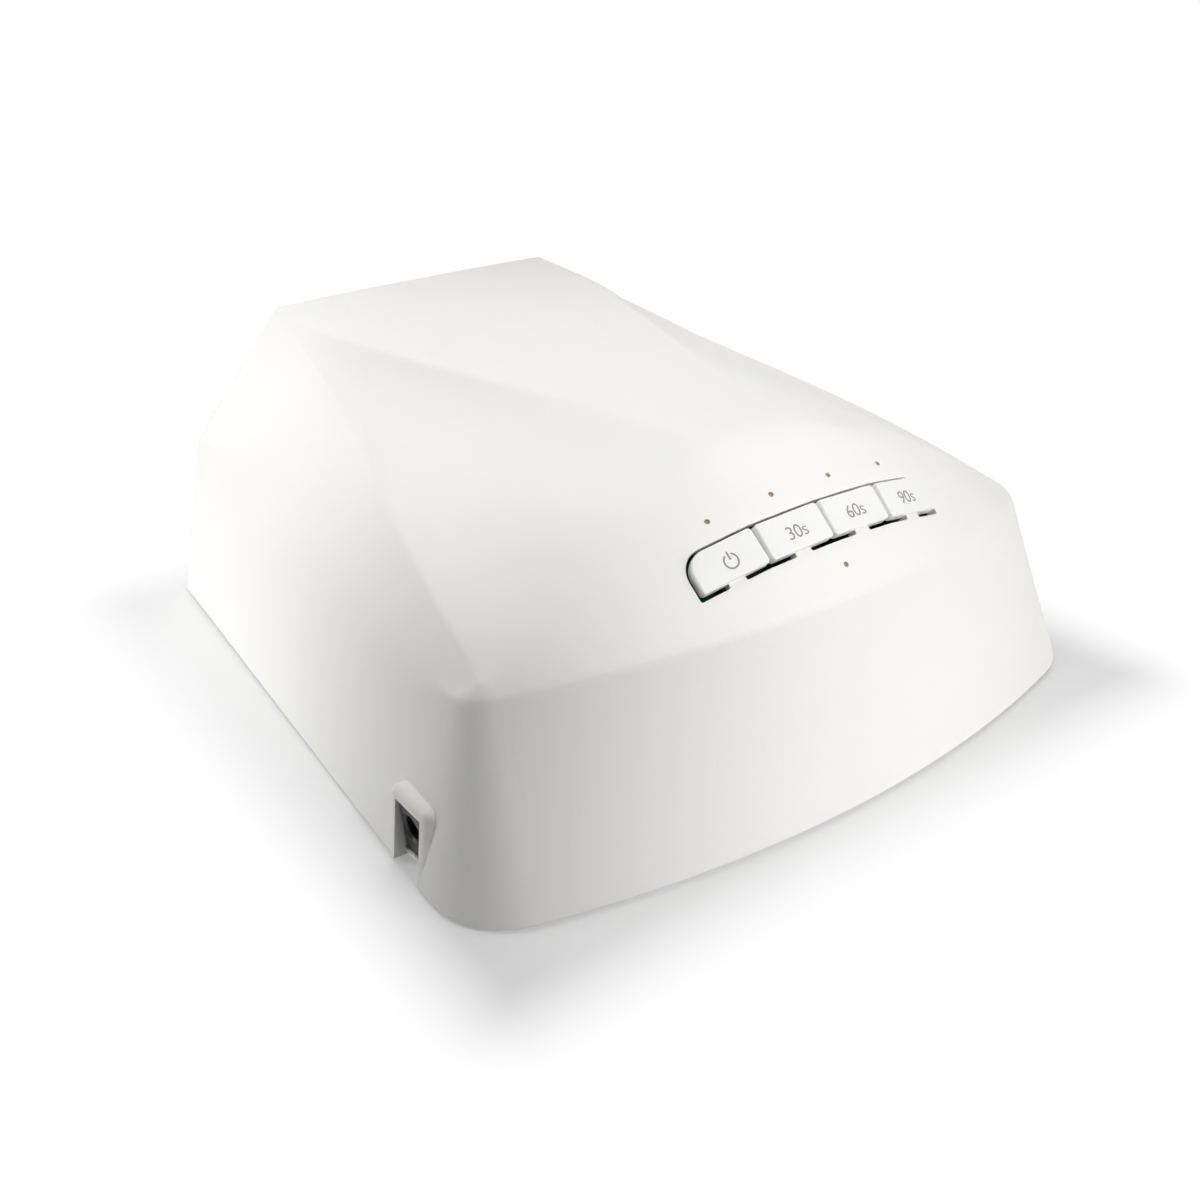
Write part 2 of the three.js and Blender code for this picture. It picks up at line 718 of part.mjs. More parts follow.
function screw(diameter, head, headHeight, length) {
  const radius = diameter / 2;
  const tip = radius * screwTipShare;
  return turned([[0, 0], [head / 2, 0], [head / 2, headHeight / 2], [head / 2 - headHeight / 4, headHeight],
    [radius, headHeight], [radius, length - diameter], [tip, length], [0, length]], smallSides);
}

function boardScrew() {
  return screw(boardScrewDiameter, boardScrewHead, boardScrewHeadHeight, boardScrewLength);
}

function baseScrew() {
  return screw(screwDiameter, screwHead, screwHeadHeight, screwLength);
}

// Power socket, drawn from its front face inwards
function powerSocket() {
  const half = socketWidth / 2;
  const body = block(0, socketLength, -half, half, -socketHeight / 2, socketHeight / 2);
  const hole = rod(socketHole / 2, -overrun, socketHoleDepth).rotateY(Math.PI / 2);
  return combine(body, [], [hole]);
}

function powerSocketPin() {
  const tip = socketPin * pinTipShare;
  return turned([[0, bossEdge], [socketPin / 2 - tip, bossEdge], [socketPin / 2, bossEdge + tip],
    [socketPin / 2, socketHoleDepth - fit], [0, socketHoleDepth - fit]], smallSides).rotateY(Math.PI / 2);
}

// Base frame: floor under the electronics, a rail along each side for the tray, foot and screw places
const feet = footAlongShares.flatMap((share) => [-1, 1].map((side) => ({
  x: side * footAcrossShare * halfWidth, y: along(share),
})));

function rimOutline() {
  const side = Array.from({ length: sideSteps / 2 + 1 }, (_, i) =>
    baseSide(mix(farEdge, baseCorner.y, i * 2 / sideSteps)));
  const corner = Array.from({ length: cornerSteps }, (_, i) =>
    baseCornerCurve.getPoint((i + 1) / cornerSteps));
  const front = Array.from({ length: sideSteps / 2 }, (_, i) =>
    baseFront(baseCornerEndShare * halfWidth * (1 - (i + 1) * 2 / sideSteps)));
  const right = [...side, ...corner, ...front].map((p) => [p.x, p.y]);
  return mirrored(right.slice(0, -1).concat([[0, nearEdge]])).reverse();
}

function baseFrame() {
  const inset = wall + 2 * fit + sideLeanNear * railHeight;
  const outline = insetLoop(rimOutline(), inset);
  const top = rimHeight + railHeight;
  const plate = slab(polygon(outline), rimHeight, top);
  const through = farEdge + overrun;
  const start = linerStart - trayTuck + wall;
  const inner = trayWidth / 2 - trayLipWidth;
  const well = polygon(insetLoop(rimOutline(), inset + wall));
  const compartment = slab(well, rimHeight + floorHeight, top + overrun);
  const across = (y0) => block(-halfWidth, halfWidth, y0, through + overrun, 0, top + shellHeight);
  const behind = across(linerStart + wall);
  const endTrim = across(farEdge - bezelSetback);
  const half = notchWidth / 2 - fit;
  const pad = block(socketFace, socketFace + socketLength, socketY - half, socketY + half,
    rimHeight, rimHeight + socketStand);
  const bossSide = bossWall + 2 * fit;
  const besideBoss = [socketY - half - bossSide, socketY + half].map((y) =>
    block(-halfWidth, bossBack + fit, y, y + bossSide, 0, top + overrun));
  const cuts = [
    combine(compartment, [], [behind]),
    block(-inner, inner, start + trayLipWidth, through, 0, top + overrun),
    block(-trayWidth / 2 - fit, trayWidth / 2 + fit, start, through, rimHeight + trayLip, top + overrun),
    endTrim,
    ...screwPlaces.map(({ x, y }) => rod(screwBore / 2, 0, top + overrun, smallSides).translate(x, y, 0)),
    ...screwPlaces.map(({ x, y }) => rod(screwHead / 2 + fit, 0, rimHeight + screwHeadHeight + fit)
      .translate(x, y, 0)),
    ...besideBoss,
    ...feet.map(({ x, y }) => rod(footRadius + fit, 0, rimHeight + footRecess + fit).translate(x, y, 0)),
  ];
  return combine(combine(plate, [], cuts), [pad], []);
}

function tray() {
  const half = trayWidth / 2;
  const start = linerStart - trayTuck + wall + fit;
  const end = farEdge - bezelSetback;
  const shape = new THREE.Shape();
  shape.moveTo(-half, start);
  shape.lineTo(half, start);
  shape.lineTo(half, end);
  shape.lineTo(trayPull, end);
  shape.absarc(0, end, trayPull, 0, Math.PI, true);
  shape.lineTo(-half, end);
  const floor = rimHeight + trayLip + fit;
  return slab(shape, floor, floor + trayThickness);
}

function foot() {
  const top = rimHeight + footRecess;
  const edge = footRecess / 2;
  return turned([[0, 0], [footRadius - edge, 0], [footRadius, edge], [footRadius, top], [0, top]]);
}

// Hand cavity liner: an arch with three flat faces above, closed at the key side
function archOutline(grow) {
  const [low, shoulder, roof] = archPoints;
  const splay = (low[0] - shoulder[0]) / (shoulder[1] - low[1]);
  const drop = linerWall * 2 + overrun;
  const foot0 = [low[0] + splay * drop, low[1] - drop];
  return insetLoop([foot0, shoulder, roof, ...[roof, shoulder, foot0].map(([x, z]) => [-x, z])], -grow);
}

function belowLiner() {
  return block(-halfWidth, halfWidth, -shellDepth, shellDepth, -shellDepth, linerFloor);
}

function roofFrames() {
  const [, shoulder, roof] = archPoints;
  const slope = Math.atan2(roof[1] - shoulder[1], shoulder[0] - roof[0]);
  const middle = [(shoulder[0] + roof[0]) / 2, (shoulder[1] + roof[1]) / 2];
  return [
    { name: 'top', x: 0, z: roof[1], turn: 0, rows: [-lampAcross, lampAcross] },
    { name: 'left', x: -middle[0], z: middle[1], turn: -slope, rows: [0] },
    { name: 'right', x: middle[0], z: middle[1], turn: slope, rows: [0] },
  ];
}

const boardMiddle = (linerStart + linerEnd) / 2;
const lampBoardLength = linerEnd - linerStart - 2 * lampBoardMargin;
const lampPitch = lampPitchShare * lampBoardLength;
const lampBoards = roofFrames().map((face) => ({
  ...face,
  frame: new THREE.Matrix4().makeRotationY(face.turn).setPosition(face.x, boardMiddle, face.z),
  width: face.rows.length > 1 ? lampAcross * 2 + lampBoardWidth : lampBoardWidth,
}));
const lamps = lampBoards.flatMap((board) => board.rows.flatMap((x) => [-1, 0, 1].map((step) => ({
  board, x, y: step * lampPitch,
})))).map((lamp, i) => ({ ...lamp, name: `uv_led_${i + 1}` }));

function liner() {
  const outer = runAlong(polygon(archOutline(linerWall)), linerStart, linerEnd);
  const inside = runAlong(polygon(archOutline(0)), linerStart + linerWall, linerEnd + overrun);
  const holes = lamps.map(({ board, x, y }) =>
    rod(lampHole / 2, -overrun, linerWall + overrun).translate(x, y, 0).applyMatrix4(board.frame));
  return combine(outer, [], [inside, belowLiner(), ...holes]);
}

function lampBoard(board) {
  const low = linerWall + fit;
  const half = lampBoardLength / 2;
  return block(-board.width / 2, board.width / 2, -half, half, low, low + boardThickness);
}

function lampBead() {
  const rim = linerWall - lampBaseHeight;
  const radius = lampLens / 2;
  const dome = lampDomeShares.map((share) => {
    const turn = share * Math.PI / 2;
    return [radius * Math.sin(turn), rim - lampLensHeight * Math.cos(turn)];
  });
  return turned([[0, rim - lampLensHeight], ...dome, [lampBase / 2, rim], [lampBase / 2, linerWall],
    [0, linerWall]], smallSides);
}

// Bezel that closes the gap between the liner and the housing at the hand side
function openingBezel() {
  const end = farEdge - bezelSetback;
  const edge = topEdge.getPointAt(0);
  const belt = beltSide(farEdge);
  const base = baseSide(farEdge);
  const right = [[base.x, base.z], [belt.x, belt.z], [edge.x, edge.z]];
  const outline = insetLoop([...right, ...right.map(([x, z]) => [-x, z]).reverse()], wall + fit);
  const plate = runAlong(polygon(outline), end - bezelThickness, end);
  return combine(plate, [], [belowLiner(), runAlong(polygon(archOutline(linerWall + fit)), 0, shellDepth)]);
}

// Power board on the floor of the base frame, with its capacitor and choke
const powerBoardX = socketFace + socketLength + fit;
const powerBoardY = socketY - powerBoardOffset;
const powerBoardTop = rimHeight + floorHeight + fit + boardThickness;

function powerBoard() {
  const half = powerBoardLength / 2;
  return block(0, powerBoardWidth, -half, half, -boardThickness, 0);
}

function capacitor() {
  const top = capacitorHeight;
  const groove = capacitorGroove;
  const low = capacitorGrooveShare * top;
  return turned([[0, 0], [capacitorRadius, 0], [capacitorRadius, low - groove],
    [capacitorRadius - groove, low], [capacitorRadius, low + groove], [capacitorRadius, top - groove],
    [capacitorRadius - groove, top], [0, top]]);
}

function choke() {
  const high = chokeHeight - chokeFlange;
  return turned([[0, 0], [chokeRadius, 0], [chokeRadius, chokeFlange], [chokeCoreRadius, chokeFlange],
    [chokeCoreRadius, high], [chokeRadius, high], [chokeRadius, chokeHeight], [0, chokeHeight]]);
}

// Finishes
const finishes = {
  whitePlastic: { color: 0xf1f1ef, roughness: 0.5, metalness: 0 },
  keyPlastic: { color: 0xf4f4f2, roughness: 0.42, metalness: 0 },
  lightGuide: { color: 0xb9ac98, roughness: 0.35, metalness: 0 },
  blackPlastic: { color: 0x1d1d1e, roughness: 0.45, metalness: 0 },
  silverPlastic: { color: 0xc9ccd0, roughness: 0.25, metalness: 0.85 },
  greenBoard: { color: 0x1c5b3c, roughness: 0.5, metalness: 0 },
  lampBoard: { color: 0xe9e9e4, roughness: 0.5, metalness: 0 },
  steel: { color: 0xa8aaad, roughness: 0.35, metalness: 1 },
  lens: { color: 0xe8e2a0, roughness: 0.15, metalness: 0 },
  rubber: { color: 0x2b2b2c, roughness: 0.85, metalness: 0 },
  stem: { color: 0xd8d4c6, roughness: 0.5, metalness: 0 },
  ferrite: { color: 0x35302c, roughness: 0.7, metalness: 0.1 },
};

function named(name, geometry, finish, place = new THREE.Matrix4()) {
  const bare = geometry.index ? geometry : mergeVertices(geometry, mergeTolerance);
  const mesh = new THREE.Mesh(bare, new THREE.MeshStandardMaterial(finishes[finish]));
  mesh.name = name;
  mesh.applyMatrix4(place);
  return mesh;
}

function housingGroup() {
  const group = new THREE.Group();
  group.add(named('top_shell', topShell(), 'whitePlastic'));
  group.add(named('base_frame', baseFrame(), 'whitePlastic'));
  group.add(named('opening_bezel', openingBezel(), 'whitePlastic'));
  screwPlaces.forEach(({ x, y }, i) =>
    group.add(named(`base_screw_${i + 1}`, baseScrew(), 'steel', moved(x, y, rimHeight + fit / 2))));
  feet.forEach(({ x, y }, i) => group.add(named(`rubber_foot_${i + 1}`, foot(), 'rubber', moved(x, y, 0))));
  return group;
}

function keyGroup() {
  const group = new THREE.Group();
  keys.forEach((key) => {
    group.add(named(`key_${key.name}`, keyCap(key), 'keyPlastic', key.frame));
    group.add(named(`switch_stem_${key.name}`, switchStem(), 'stem', overSwitch(key)));
    group.add(named(`switch_body_${key.name}`, switchBody(), 'blackPlastic', overSwitch(key)));
  });
  lights.forEach((light) => group.add(named(light.name, lightGuide(light), 'lightGuide', light.frame)));
  group.add(named('control_board', controlBoard(), 'greenBoard', onBoard(0, 0, 0)));
  const screwSink = -boardThickness - boardScrewHeadHeight - fit;
  [-1, 1].forEach((side, i) => group.add(named(`board_screw_${i + 1}`, boardScrew(), 'steel',
    onBoard(side * boardPostAcross, boardPostUp, screwSink))));
  return group;
}

function cavityGroup() {
  const group = new THREE.Group();
  group.add(named('reflector_liner', liner(), 'silverPlastic'));
  group.add(named('slide_tray', tray(), 'whitePlastic'));
  lampBoards.forEach((board) =>
    group.add(named(`lamp_board_${board.name}`, lampBoard(board), 'lampBoard', board.frame)));
  lamps.forEach(({ board, x, y, name }) =>
    group.add(named(name, lampBead(), 'lens', board.frame.clone().multiply(moved(x, y, 0)))));
  return group;
}

function powerGroup() {
  const group = new THREE.Group();
  const socketPlace = moved(socketFace, socketY, socketCentre);
  const onPowerBoard = (share) =>
    moved(powerBoardX + share * powerBoardWidth, powerBoardY, powerBoardTop + fit);
  group.add(named('power_socket', powerSocket(), 'blackPlastic', socketPlace));
  group.add(named('power_socket_pin', powerSocketPin(), 'steel', socketPlace));
  group.add(named('power_board', powerBoard(), 'greenBoard', moved(powerBoardX, powerBoardY, powerBoardTop)));
  group.add(named('capacitor', capacitor(), 'blackPlastic', onPowerBoard(capacitorShare)));
  group.add(named('choke', choke(), 'ferrite', onPowerBoard(chokeShare)));
  return group;
}

const lamp = new THREE.Group();
lamp.add(housingGroup(), keyGroup(), cavityGroup(), powerGroup());

export default lamp;
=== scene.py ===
import json
import math

import bpy
import numpy as np
from mathutils import Matrix, Vector


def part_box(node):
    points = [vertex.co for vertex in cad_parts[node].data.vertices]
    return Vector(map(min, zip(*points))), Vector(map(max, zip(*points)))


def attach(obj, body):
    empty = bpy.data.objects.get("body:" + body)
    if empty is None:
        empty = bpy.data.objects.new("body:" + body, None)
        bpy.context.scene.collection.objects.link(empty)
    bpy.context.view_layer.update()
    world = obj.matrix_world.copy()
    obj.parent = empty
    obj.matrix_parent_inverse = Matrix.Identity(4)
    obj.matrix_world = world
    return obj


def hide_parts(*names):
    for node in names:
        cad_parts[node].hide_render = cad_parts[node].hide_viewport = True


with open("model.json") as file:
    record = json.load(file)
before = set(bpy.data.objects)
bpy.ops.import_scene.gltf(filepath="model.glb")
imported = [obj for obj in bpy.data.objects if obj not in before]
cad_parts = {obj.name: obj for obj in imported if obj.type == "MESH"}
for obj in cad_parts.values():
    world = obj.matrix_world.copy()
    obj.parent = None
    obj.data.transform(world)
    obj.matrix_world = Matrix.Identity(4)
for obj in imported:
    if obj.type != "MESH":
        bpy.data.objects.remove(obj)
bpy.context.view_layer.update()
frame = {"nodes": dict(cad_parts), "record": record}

bl_info = {
    "name": "UV nail lamp",
    "version": (1, 0, 0),
    "blender": (4, 5, 0),
    "location": "View3D > Sidebar > Nail Lamp",
    "description": "Dresses the solids of a UV nail lamp: smooth housing, keys, socket, cavity and finishes",
    "category": "Object",
}

MM = 0.001

# How far cutters stand clear of what they cut, and how near points lie that count as the same or are joined
CLEAR = 2 * MM
TOUCH = MM / 10
HAIR = MM / 100
SKIN_WELD = MM / 50
MIRROR_WELD = MM / 20

# How far the cutters of the key windows reach below and above the panel
CUT_DEEP = 6 * MM
CUT_CLEAR = 4 * MM

# Edges that turn by more than this many degrees stay crisp: on the housing, on most pieces, on round ones
HOUSING_ANGLE = 30
PIECE_ANGLE = 35
ROUND_ANGLE = 40

# Lines that the housing is drawn on, as in the part's source. Across is a share of half the width, along a
# share of the depth from the key side, up a share of the height.
TOP_EDGE_SHARES = [(0.464, 1, 1), (0.44, 0.8175, 1), (0.365, 0.676, 1), (0.26, 0.495, 1), (0.176, 0.334, 1),
                   (0.12, 0.231, 1)]
RIDGE_SHARES = [(0.495, 1, 0.954), (0.515, 0.878, 0.938), (0.56, 0.752, 0.898), (0.63, 0.599, 0.833),
                (0.689, 0.499, 0.782), (0.743, 0.394, 0.731), (0.793, 0.283, 0.668), (0.822, 0.174, 0.606)]
PANEL_EDGE_SHARES = [(0.12, 0.231, 1), (0.285, 0.2, 1), (0.475, 0.217, 1), (0.655, 0.181, 1),
                     (0.822, 0.174, 1)]
BASE_FAR_WIDTH_SHARE = 0.86
BASE_CORNER_WIDTH_SHARE = 0.995
BASE_CORNER_START_SHARE = 0.167
BASE_CORNER_END_SHARE = 0.827
BELT_CORNER_START_SHARE = 0.2
BELT_CORNER_END_SHARE = 0.815
BELT_FAR_HEIGHT_SHARE = 0.571
BELT_CORNER_HEIGHT_SHARE = 0.545
BELT_FRONT_HEIGHT_SHARE = 0.668
PANEL_TURN_POWER = 3
PANEL_FALL_POWER = 1.6
SIDE_LEAN_FAR = 0.228
SIDE_LEAN_NEAR = 0.27
SCOOP_RUN_SHARE = 0.6
SWELL_START_SHARE = 0.4
SWELL_POWER = 2
EDGE_ROOM_SHARE = 0.25
RIDGE_TAPER = 1.5
BELT_ROOM_SHARE = 0.45
KEY_ROW_SHARE = 0.67
LIGHT_ACROSS_SHARES = (-1.44, -0.48, 0.48, 1.44)
SOCKET_ALONG_SHARE = 0.2175
SOCKET_LEAN_SHARE = 1.1 / 12
BOSS_LEAN_SHARE = 0.1

KEY_PLACES = {"key_power": -1.5, "key_30s": -0.5, "key_60s": 0.5, "key_90s": 1.5}
LEGEND_ASIDE = {"key_power": 0.7, "key_30s": 0.4, "key_60s": 0.1, "key_90s": -0.1}

# Profiles in millimetres, as radius and height. The lamps and the screws look down in theirs.
LENS_PROFILE = ((0, -1), (0.7, -0.96), (1.3, -0.8), (1.8, -0.52), (2.15, -0.18), (2.4, 0.2), (2.5, 0.6),
                (2.5, 1.2), (0, 1.2))
RING_PROFILE = ((2.5, 1.6), (2.55, 0.95), (2.7, 0.72), (2.95, 0.6), (3.25, 0.62), (3.45, 0.75), (3.5, 1),
                (3.5, 1.45), (3.4, 1.6), (2.5, 1.6))
FOOT_PROFILE = ((0, 0.25), (2.4, 0.25), (2.8, 0.05), (3.2, 0), (4, 0), (4.5, 0.12), (4.85, 0.45), (5, 0.9),
                (5, 1.8), (0, 1.8))
SOCKET_HOLE_PROFILE = ((0, -2), (4.2, -2), (3.9, 0), (3.35, 0.45), (3.2, 0.6), (3.2, 9.5), (0, 9.5))
PIN_PROFILE = ((0, 3), (0.5, 3.08), (0.85, 3.4), (1, 3.9), (1, 9.6), (0, 9.6))
SCREW_HEAD_PROFILE = ((0, -1), (1.7, -1), (2.3, -0.93), (2.75, -0.72), (2.95, -0.4), (3, -0.1), (2.95, 0),
                      (1.15, 0), (1.15, 1.5))
THREAD_PROFILE = ((1.5, 1.9), (1.5, 2.05), (1.15, 2.45))
THREAD_PITCH = 1
THREAD_TURNS = 8
SCREW_TIP_PROFILE = ((1.15, 9.6), (0.3, 10.9), (0, 11))
SCREW_TURN = math.radians(37)
LAMP_TURN = math.radians(37.93)
RECESS_LONG = 1.7
RECESS_WIDE = 0.28
RECESS_FLOOR = -0.35
RECESS_TAPER = 0.6
LAMP_MIDDLE = 0.3
ROOF_HALF = 30

# Small sizes in millimetres: the edges of the cavity's pieces and the base plate, the tray's ribs, the light
# guides, and the room in the base frame and the socket's body
CAVITY_EDGE = 0.5
PLATE_EDGE = 0.35
RIBS = 4
RIB_START = 18
RIB_PITCH = 3.2
RIB_LENGTH = 44
RIB_WIDTH = 1.4
RIB_RISE = 0.35
RIB_ROOT = 0.4
RIB_EDGE = 0.3
GUIDE_DROP = 0.3
GUIDE_EDGE = 0.2
ROOM_BESIDE = 7
ROOM_DEPTH = 4
ROOM_IN_FRONT = 5
ROOM_UNDER = 2.4
PAD_SETBACK = 0.6
PAD_BESIDE = 8
PAD_TOP = 4.6

SCREWS = range(1, 7)
FEET = range(1, 5)
LAMPS = range(1, 13)
GUIDE_LENGTH_SHARE = 0.8
DIGITS_TO_SIZE = 1.38
DIGIT_SPACING = 0.95
THINNING = 0.004


def length(name, description, millimetres):
    return bpy.props.FloatProperty(name=name, description=description, default=millimetres * MM,
                                   unit="LENGTH", subtype="DISTANCE", precision=5)


def colour(name, description, default):
    return bpy.props.FloatVectorProperty(name=name, description=description, default=default, size=3,
                                         min=0, max=1, subtype="COLOR")


class HousingSizes(bpy.types.PropertyGroup):
    """Sizes of the moulded housing."""
    width: length("Width", "Width across the widest part of the rim", 200)
    depth: length("Depth", "Depth from the key side to the hand side", 198.4)
    height: length("Height", "Height of the flat top above the rim", 80.2)
    stand: length("Stand", "Height of the rim above the table", 1)
    wall: length("Wall", "Thickness of the moulded wall", 2.4)
    fit: length("Fit", "Gap between neighbouring parts", 0.3)
    top_crown: length("Top crown", "Rise of the top in its middle", 0.5)
    base_sweep: length("Rim sweep", "How far the front of the rim falls back at its ends", 15.6)
    belt_setback: length("Belt setback", "How far the belt lies behind the rim in the middle", 7)
    belt_sweep: length("Belt sweep", "How far the belt falls back at its ends", 32.6)
    belt_drop: length("Belt drop", "How far the belt falls at its ends", 13.9)
    panel_bulge: length("Panel bulge", "How far the key panel is bowed outwards", 4.7)
    scoop_depth: length("Scoop depth", "Hollow of the shoulders", 4)
    edge_softness: length("Top edge softness", "Reach of the rounding along the flat top", 1.6)
    ridge_far: length("Ridge softness far", "Reach of the ridge's rounding at the hand side", 13)
    ridge_near: length("Ridge softness near", "Reach of the ridge's rounding at the key side", 2)
    belt_softness: length("Belt softness", "Reach of the belt's rounding in the middle of a side", 22)
    belt_crispness: length("Belt crispness", "Reach of the belt's rounding along the front", 0.9)
    crease_softness: length("Crease softness", "Reach of the rounding beside the key panel", 4)
    end_softness: length("Ridge end softness", "Reach of the rounding at the end of the ridge", 9)
    tower_radius: length("Tower radius", "Radius of the screw towers inside", 3.2)
    tower_bore: length("Tower bore", "Width of the bores of the screw towers", 3.6)
    tower_start: length("Tower start", "Height of a screw tower's foot above its screw's head", 4)
    tower_height: length("Tower height", "Height of a screw tower above its screw's head", 20)


class KeySizes(bpy.types.PropertyGroup):
    """Sizes of the timer keys and of the lights beside them."""
    pitch: length("Pitch", "Distance between the middles of two keys", 18.45)
    height: length("Height", "Length of a key up the panel", 9)
    gap: length("Gap", "Gap round the row of keys", 0.55)
    end_room: length("End room", "How much wider the gap is at the ends of the row", 0.35)
    top_room: length("Top room", "How much wider the gap is above the row", 0.2)
    rise: length("Rise", "Height of a key above the panel", 1)
    thickness: length("Thickness", "Thickness of a key", 2.5)
    bevel: length("Bevel", "Rounding of a key's upper edges", 0.55)
    corner: length("Corner", "Radius of a key's small corners", 0.9)
    end_corner: length("End corner", "Radius of the outer corners of the row", 4.9)
    row_sweep: length("Row sweep", "How far the row falls back at its ends", 16)
    tongue: length("Tongue", "Width of the strip that joins a key to the housing", 4.4)
    slot: length("Slot", "Height of the slots beside the strips", 1.1)
    light_hole: length("Light hole", "Diameter of the holes of the lights", 1.35)
    light_fit: length("Light fit", "Gap round a light guide in its hole", 0.1)
    light_reach: length("Light reach", "Distance of the lights from the middle of the row", 8)
    legend: length("Legend", "Height of the digits on the keys", 3.3)
    legend_drop: length("Legend drop", "How far the legends sit below the middle of a key", 0.5)
    ring_radius: length("Ring", "Radius of the power sign's ring", 1.9)
    ring_gap: length("Ring gap", "Width of the opening in the power sign's ring", 1.5)
    stroke: length("Stroke", "Width of the power sign's lines", 0.4)
    bar_low: length("Bar foot", "Height of the lower end of the power sign's bar", 0.35)
    bar_high: length("Bar head", "Height of the upper end of the power sign's bar", 2.35)
    print_depth: length("Print depth", "Thickness of the printed legends", 0.03)
    board_drop: length("Board drop", "Depth of the control board under the panel", 12)
    switch_height: length("Switch height", "Height of a switch with its stem", 4.8)
    post_radius: length("Post radius", "Radius of the post under a key", 1.4)


class SocketSizes(bpy.types.PropertyGroup):
    """Sizes of the power socket, its notch and the raised surround."""
    width: length("Width", "Width of the socket", 9.9)
    low: length("Low", "Height of the socket's lower end above the table", 3.3)
    high: length("High", "Height of the socket's upper end above the table", 16.7)
    edge: length("Edge", "Rounding of the edges of the socket's face", 0.3)
    lip: length("Lip", "Thickness of the lip below the socket", 0.8)
    lip_reach: length("Lip reach", "How far the lip reaches under the socket", 2)
    lip_edge: length("Lip edge", "Rounding of the lip's edges", 0.2)
    face_out: length("Face", "How far the tilted face stands out", 0.8)
    face_height: length("Face height", "Height at which the tilted face stands out that far", 9.4)
    hole_out: length("Hole", "How far the middle of the hole's mouth stands out", 0.9)
    hole_aside: length("Hole aside", "How far the hole lies from the socket's middle", 0.5)
    hole_height: length("Hole height", "Height of the hole above the table", 11)
    notch_width: length("Notch width", "Width of the notch in the wall", 10.5)
    notch_height: length("Notch height", "Height of the notch above the rim", 16.1)
    notch_depth: length("Notch depth", "Depth of the notch from the widest part of the rim", 14)
    boss_wall: length("Surround", "Thickness of the surround beside the notch", 2.7)
    boss_roof: length("Surround roof", "Thickness of the surround above the notch", 3.1)
    boss_reach: length("Surround depth", "Depth of the surround from its face", 7)
    boss_corner: length("Surround corner", "Radius of the surround's upper corners", 2.2)
    boss_edge: length("Surround edge", "Rounding of the edges of the surround's face", 1.8)


class FinishColours(bpy.types.PropertyGroup):
    """Colours of the finishes."""
    housing: colour("Housing", "Satin white of the housing", (0.925, 0.918, 0.897))
    key: colour("Keys", "Smooth white of the keys", (0.94, 0.937, 0.925))
    legend: colour("Legends", "Warm grey of the printed legends", (0.3, 0.275, 0.265))
    light: colour("Lights", "Beige of the light guides", (0.36, 0.29, 0.22))
    socket: colour("Socket", "Black of the power socket", (0.02, 0.02, 0.021))
    board: colour("Boards", "Green solder resist of the circuit boards", (0.012, 0.09, 0.045))
    liner: colour("Liner", "Silver of the reflector liner", (0.78, 0.79, 0.8))
    lens: colour("Lamps", "Yellowish resin of the lamp lenses", (0.9, 0.84, 0.5))
    rubber: colour("Feet", "Black rubber of the feet", (0.03, 0.03, 0.031))


class StageSizes(bpy.types.PropertyGroup):
    """The camera and the light of the picture."""
    azimuth: bpy.props.FloatProperty(name="Azimuth", description="Turn of the camera about the upright axis",
                                     default=math.radians(-36.78), unit="ROTATION", subtype="ANGLE")
    elevation: bpy.props.FloatProperty(name="Elevation", description="Tilt of the camera above the table",
                                       default=math.radians(28.96), unit="ROTATION", subtype="ANGLE")
    eye: bpy.props.FloatVectorProperty(name="Eye", description="Place of the camera", size=3, unit="LENGTH",
                                       subtype="TRANSLATION", default=(-0.2072, -0.27311, 0.20172))
    lens: bpy.props.FloatProperty(name="Lens", description="Focal length in millimetres on a 36 mm sensor",
                                  default=41.44, unit="CAMERA")
    floor_radius: length("Floor radius", "Radius of the pale floor", 3000)
    white_start: length("White start", "Distance from the lamp at which the floor starts to fade", -11)
    white_end: length("White end", "Distance from the lamp at which the floor is all white", 23)


def settings(group):
    """The sizes or colours of one group, as the user has set them."""
    return getattr(bpy.context.scene, "nail_lamp_" + group)


# Shape of the housing

def mix(a, b, t):
    return a + (b - a) * t


def smooth(t):
    t = min(max(t, 0), 1)
    return t * t * (3 - 2 * t)


def point(x, y, z):
    return np.array([x, y, z], float)


def distance(a, b):
    return float(np.linalg.norm(b - a))


def arc(start, corner, end, shares):
    """Points of a rounded corner between two lines that meet in a corner."""
    return [start * (1 - t) ** 2 + corner * 2 * t * (1 - t) + end * t * t for t in shares]


class SmoothLine:
    """A smooth line through points, measured along its length."""
    samples = 200

    def __init__(self, points):
        self.points = points
        self.steps = np.linspace(0, 1, self.samples + 1)
        places = np.array([self.at_step(t) for t in self.steps])
        run = np.cumsum(np.linalg.norm(np.diff(places, axis=0), axis=1))
        self.lengths = np.concatenate([[0], run / run[-1]])

    def at_step(self, t):
        last = len(self.points) - 1
        i = min(int(t * last), last - 1)
        w = t * last - i
        b, c = self.points[i], self.points[i + 1]
        a = self.points[i - 1] if i > 0 else 2 * b - c
        d = self.points[i + 2] if i + 2 <= last else 2 * c - b
        ab, bc, cd = (math.sqrt(distance(p, q)) for p, q in ((a, b), (b, c), (c, d)))
        leave = ((b - a) / ab - (c - a) / (ab + bc) + (c - b) / bc) * bc
        arrive = ((c - b) / bc - (d - b) / (bc + cd) + (d - c) / cd) * bc
        return (b + leave * w + (3 * (c - b) - 2 * leave - arrive) * w ** 2
                + (2 * (b - c) + leave + arrive) * w ** 3)

    def at(self, share):
        return self.at_step(float(np.interp(share, self.lengths, self.steps)))


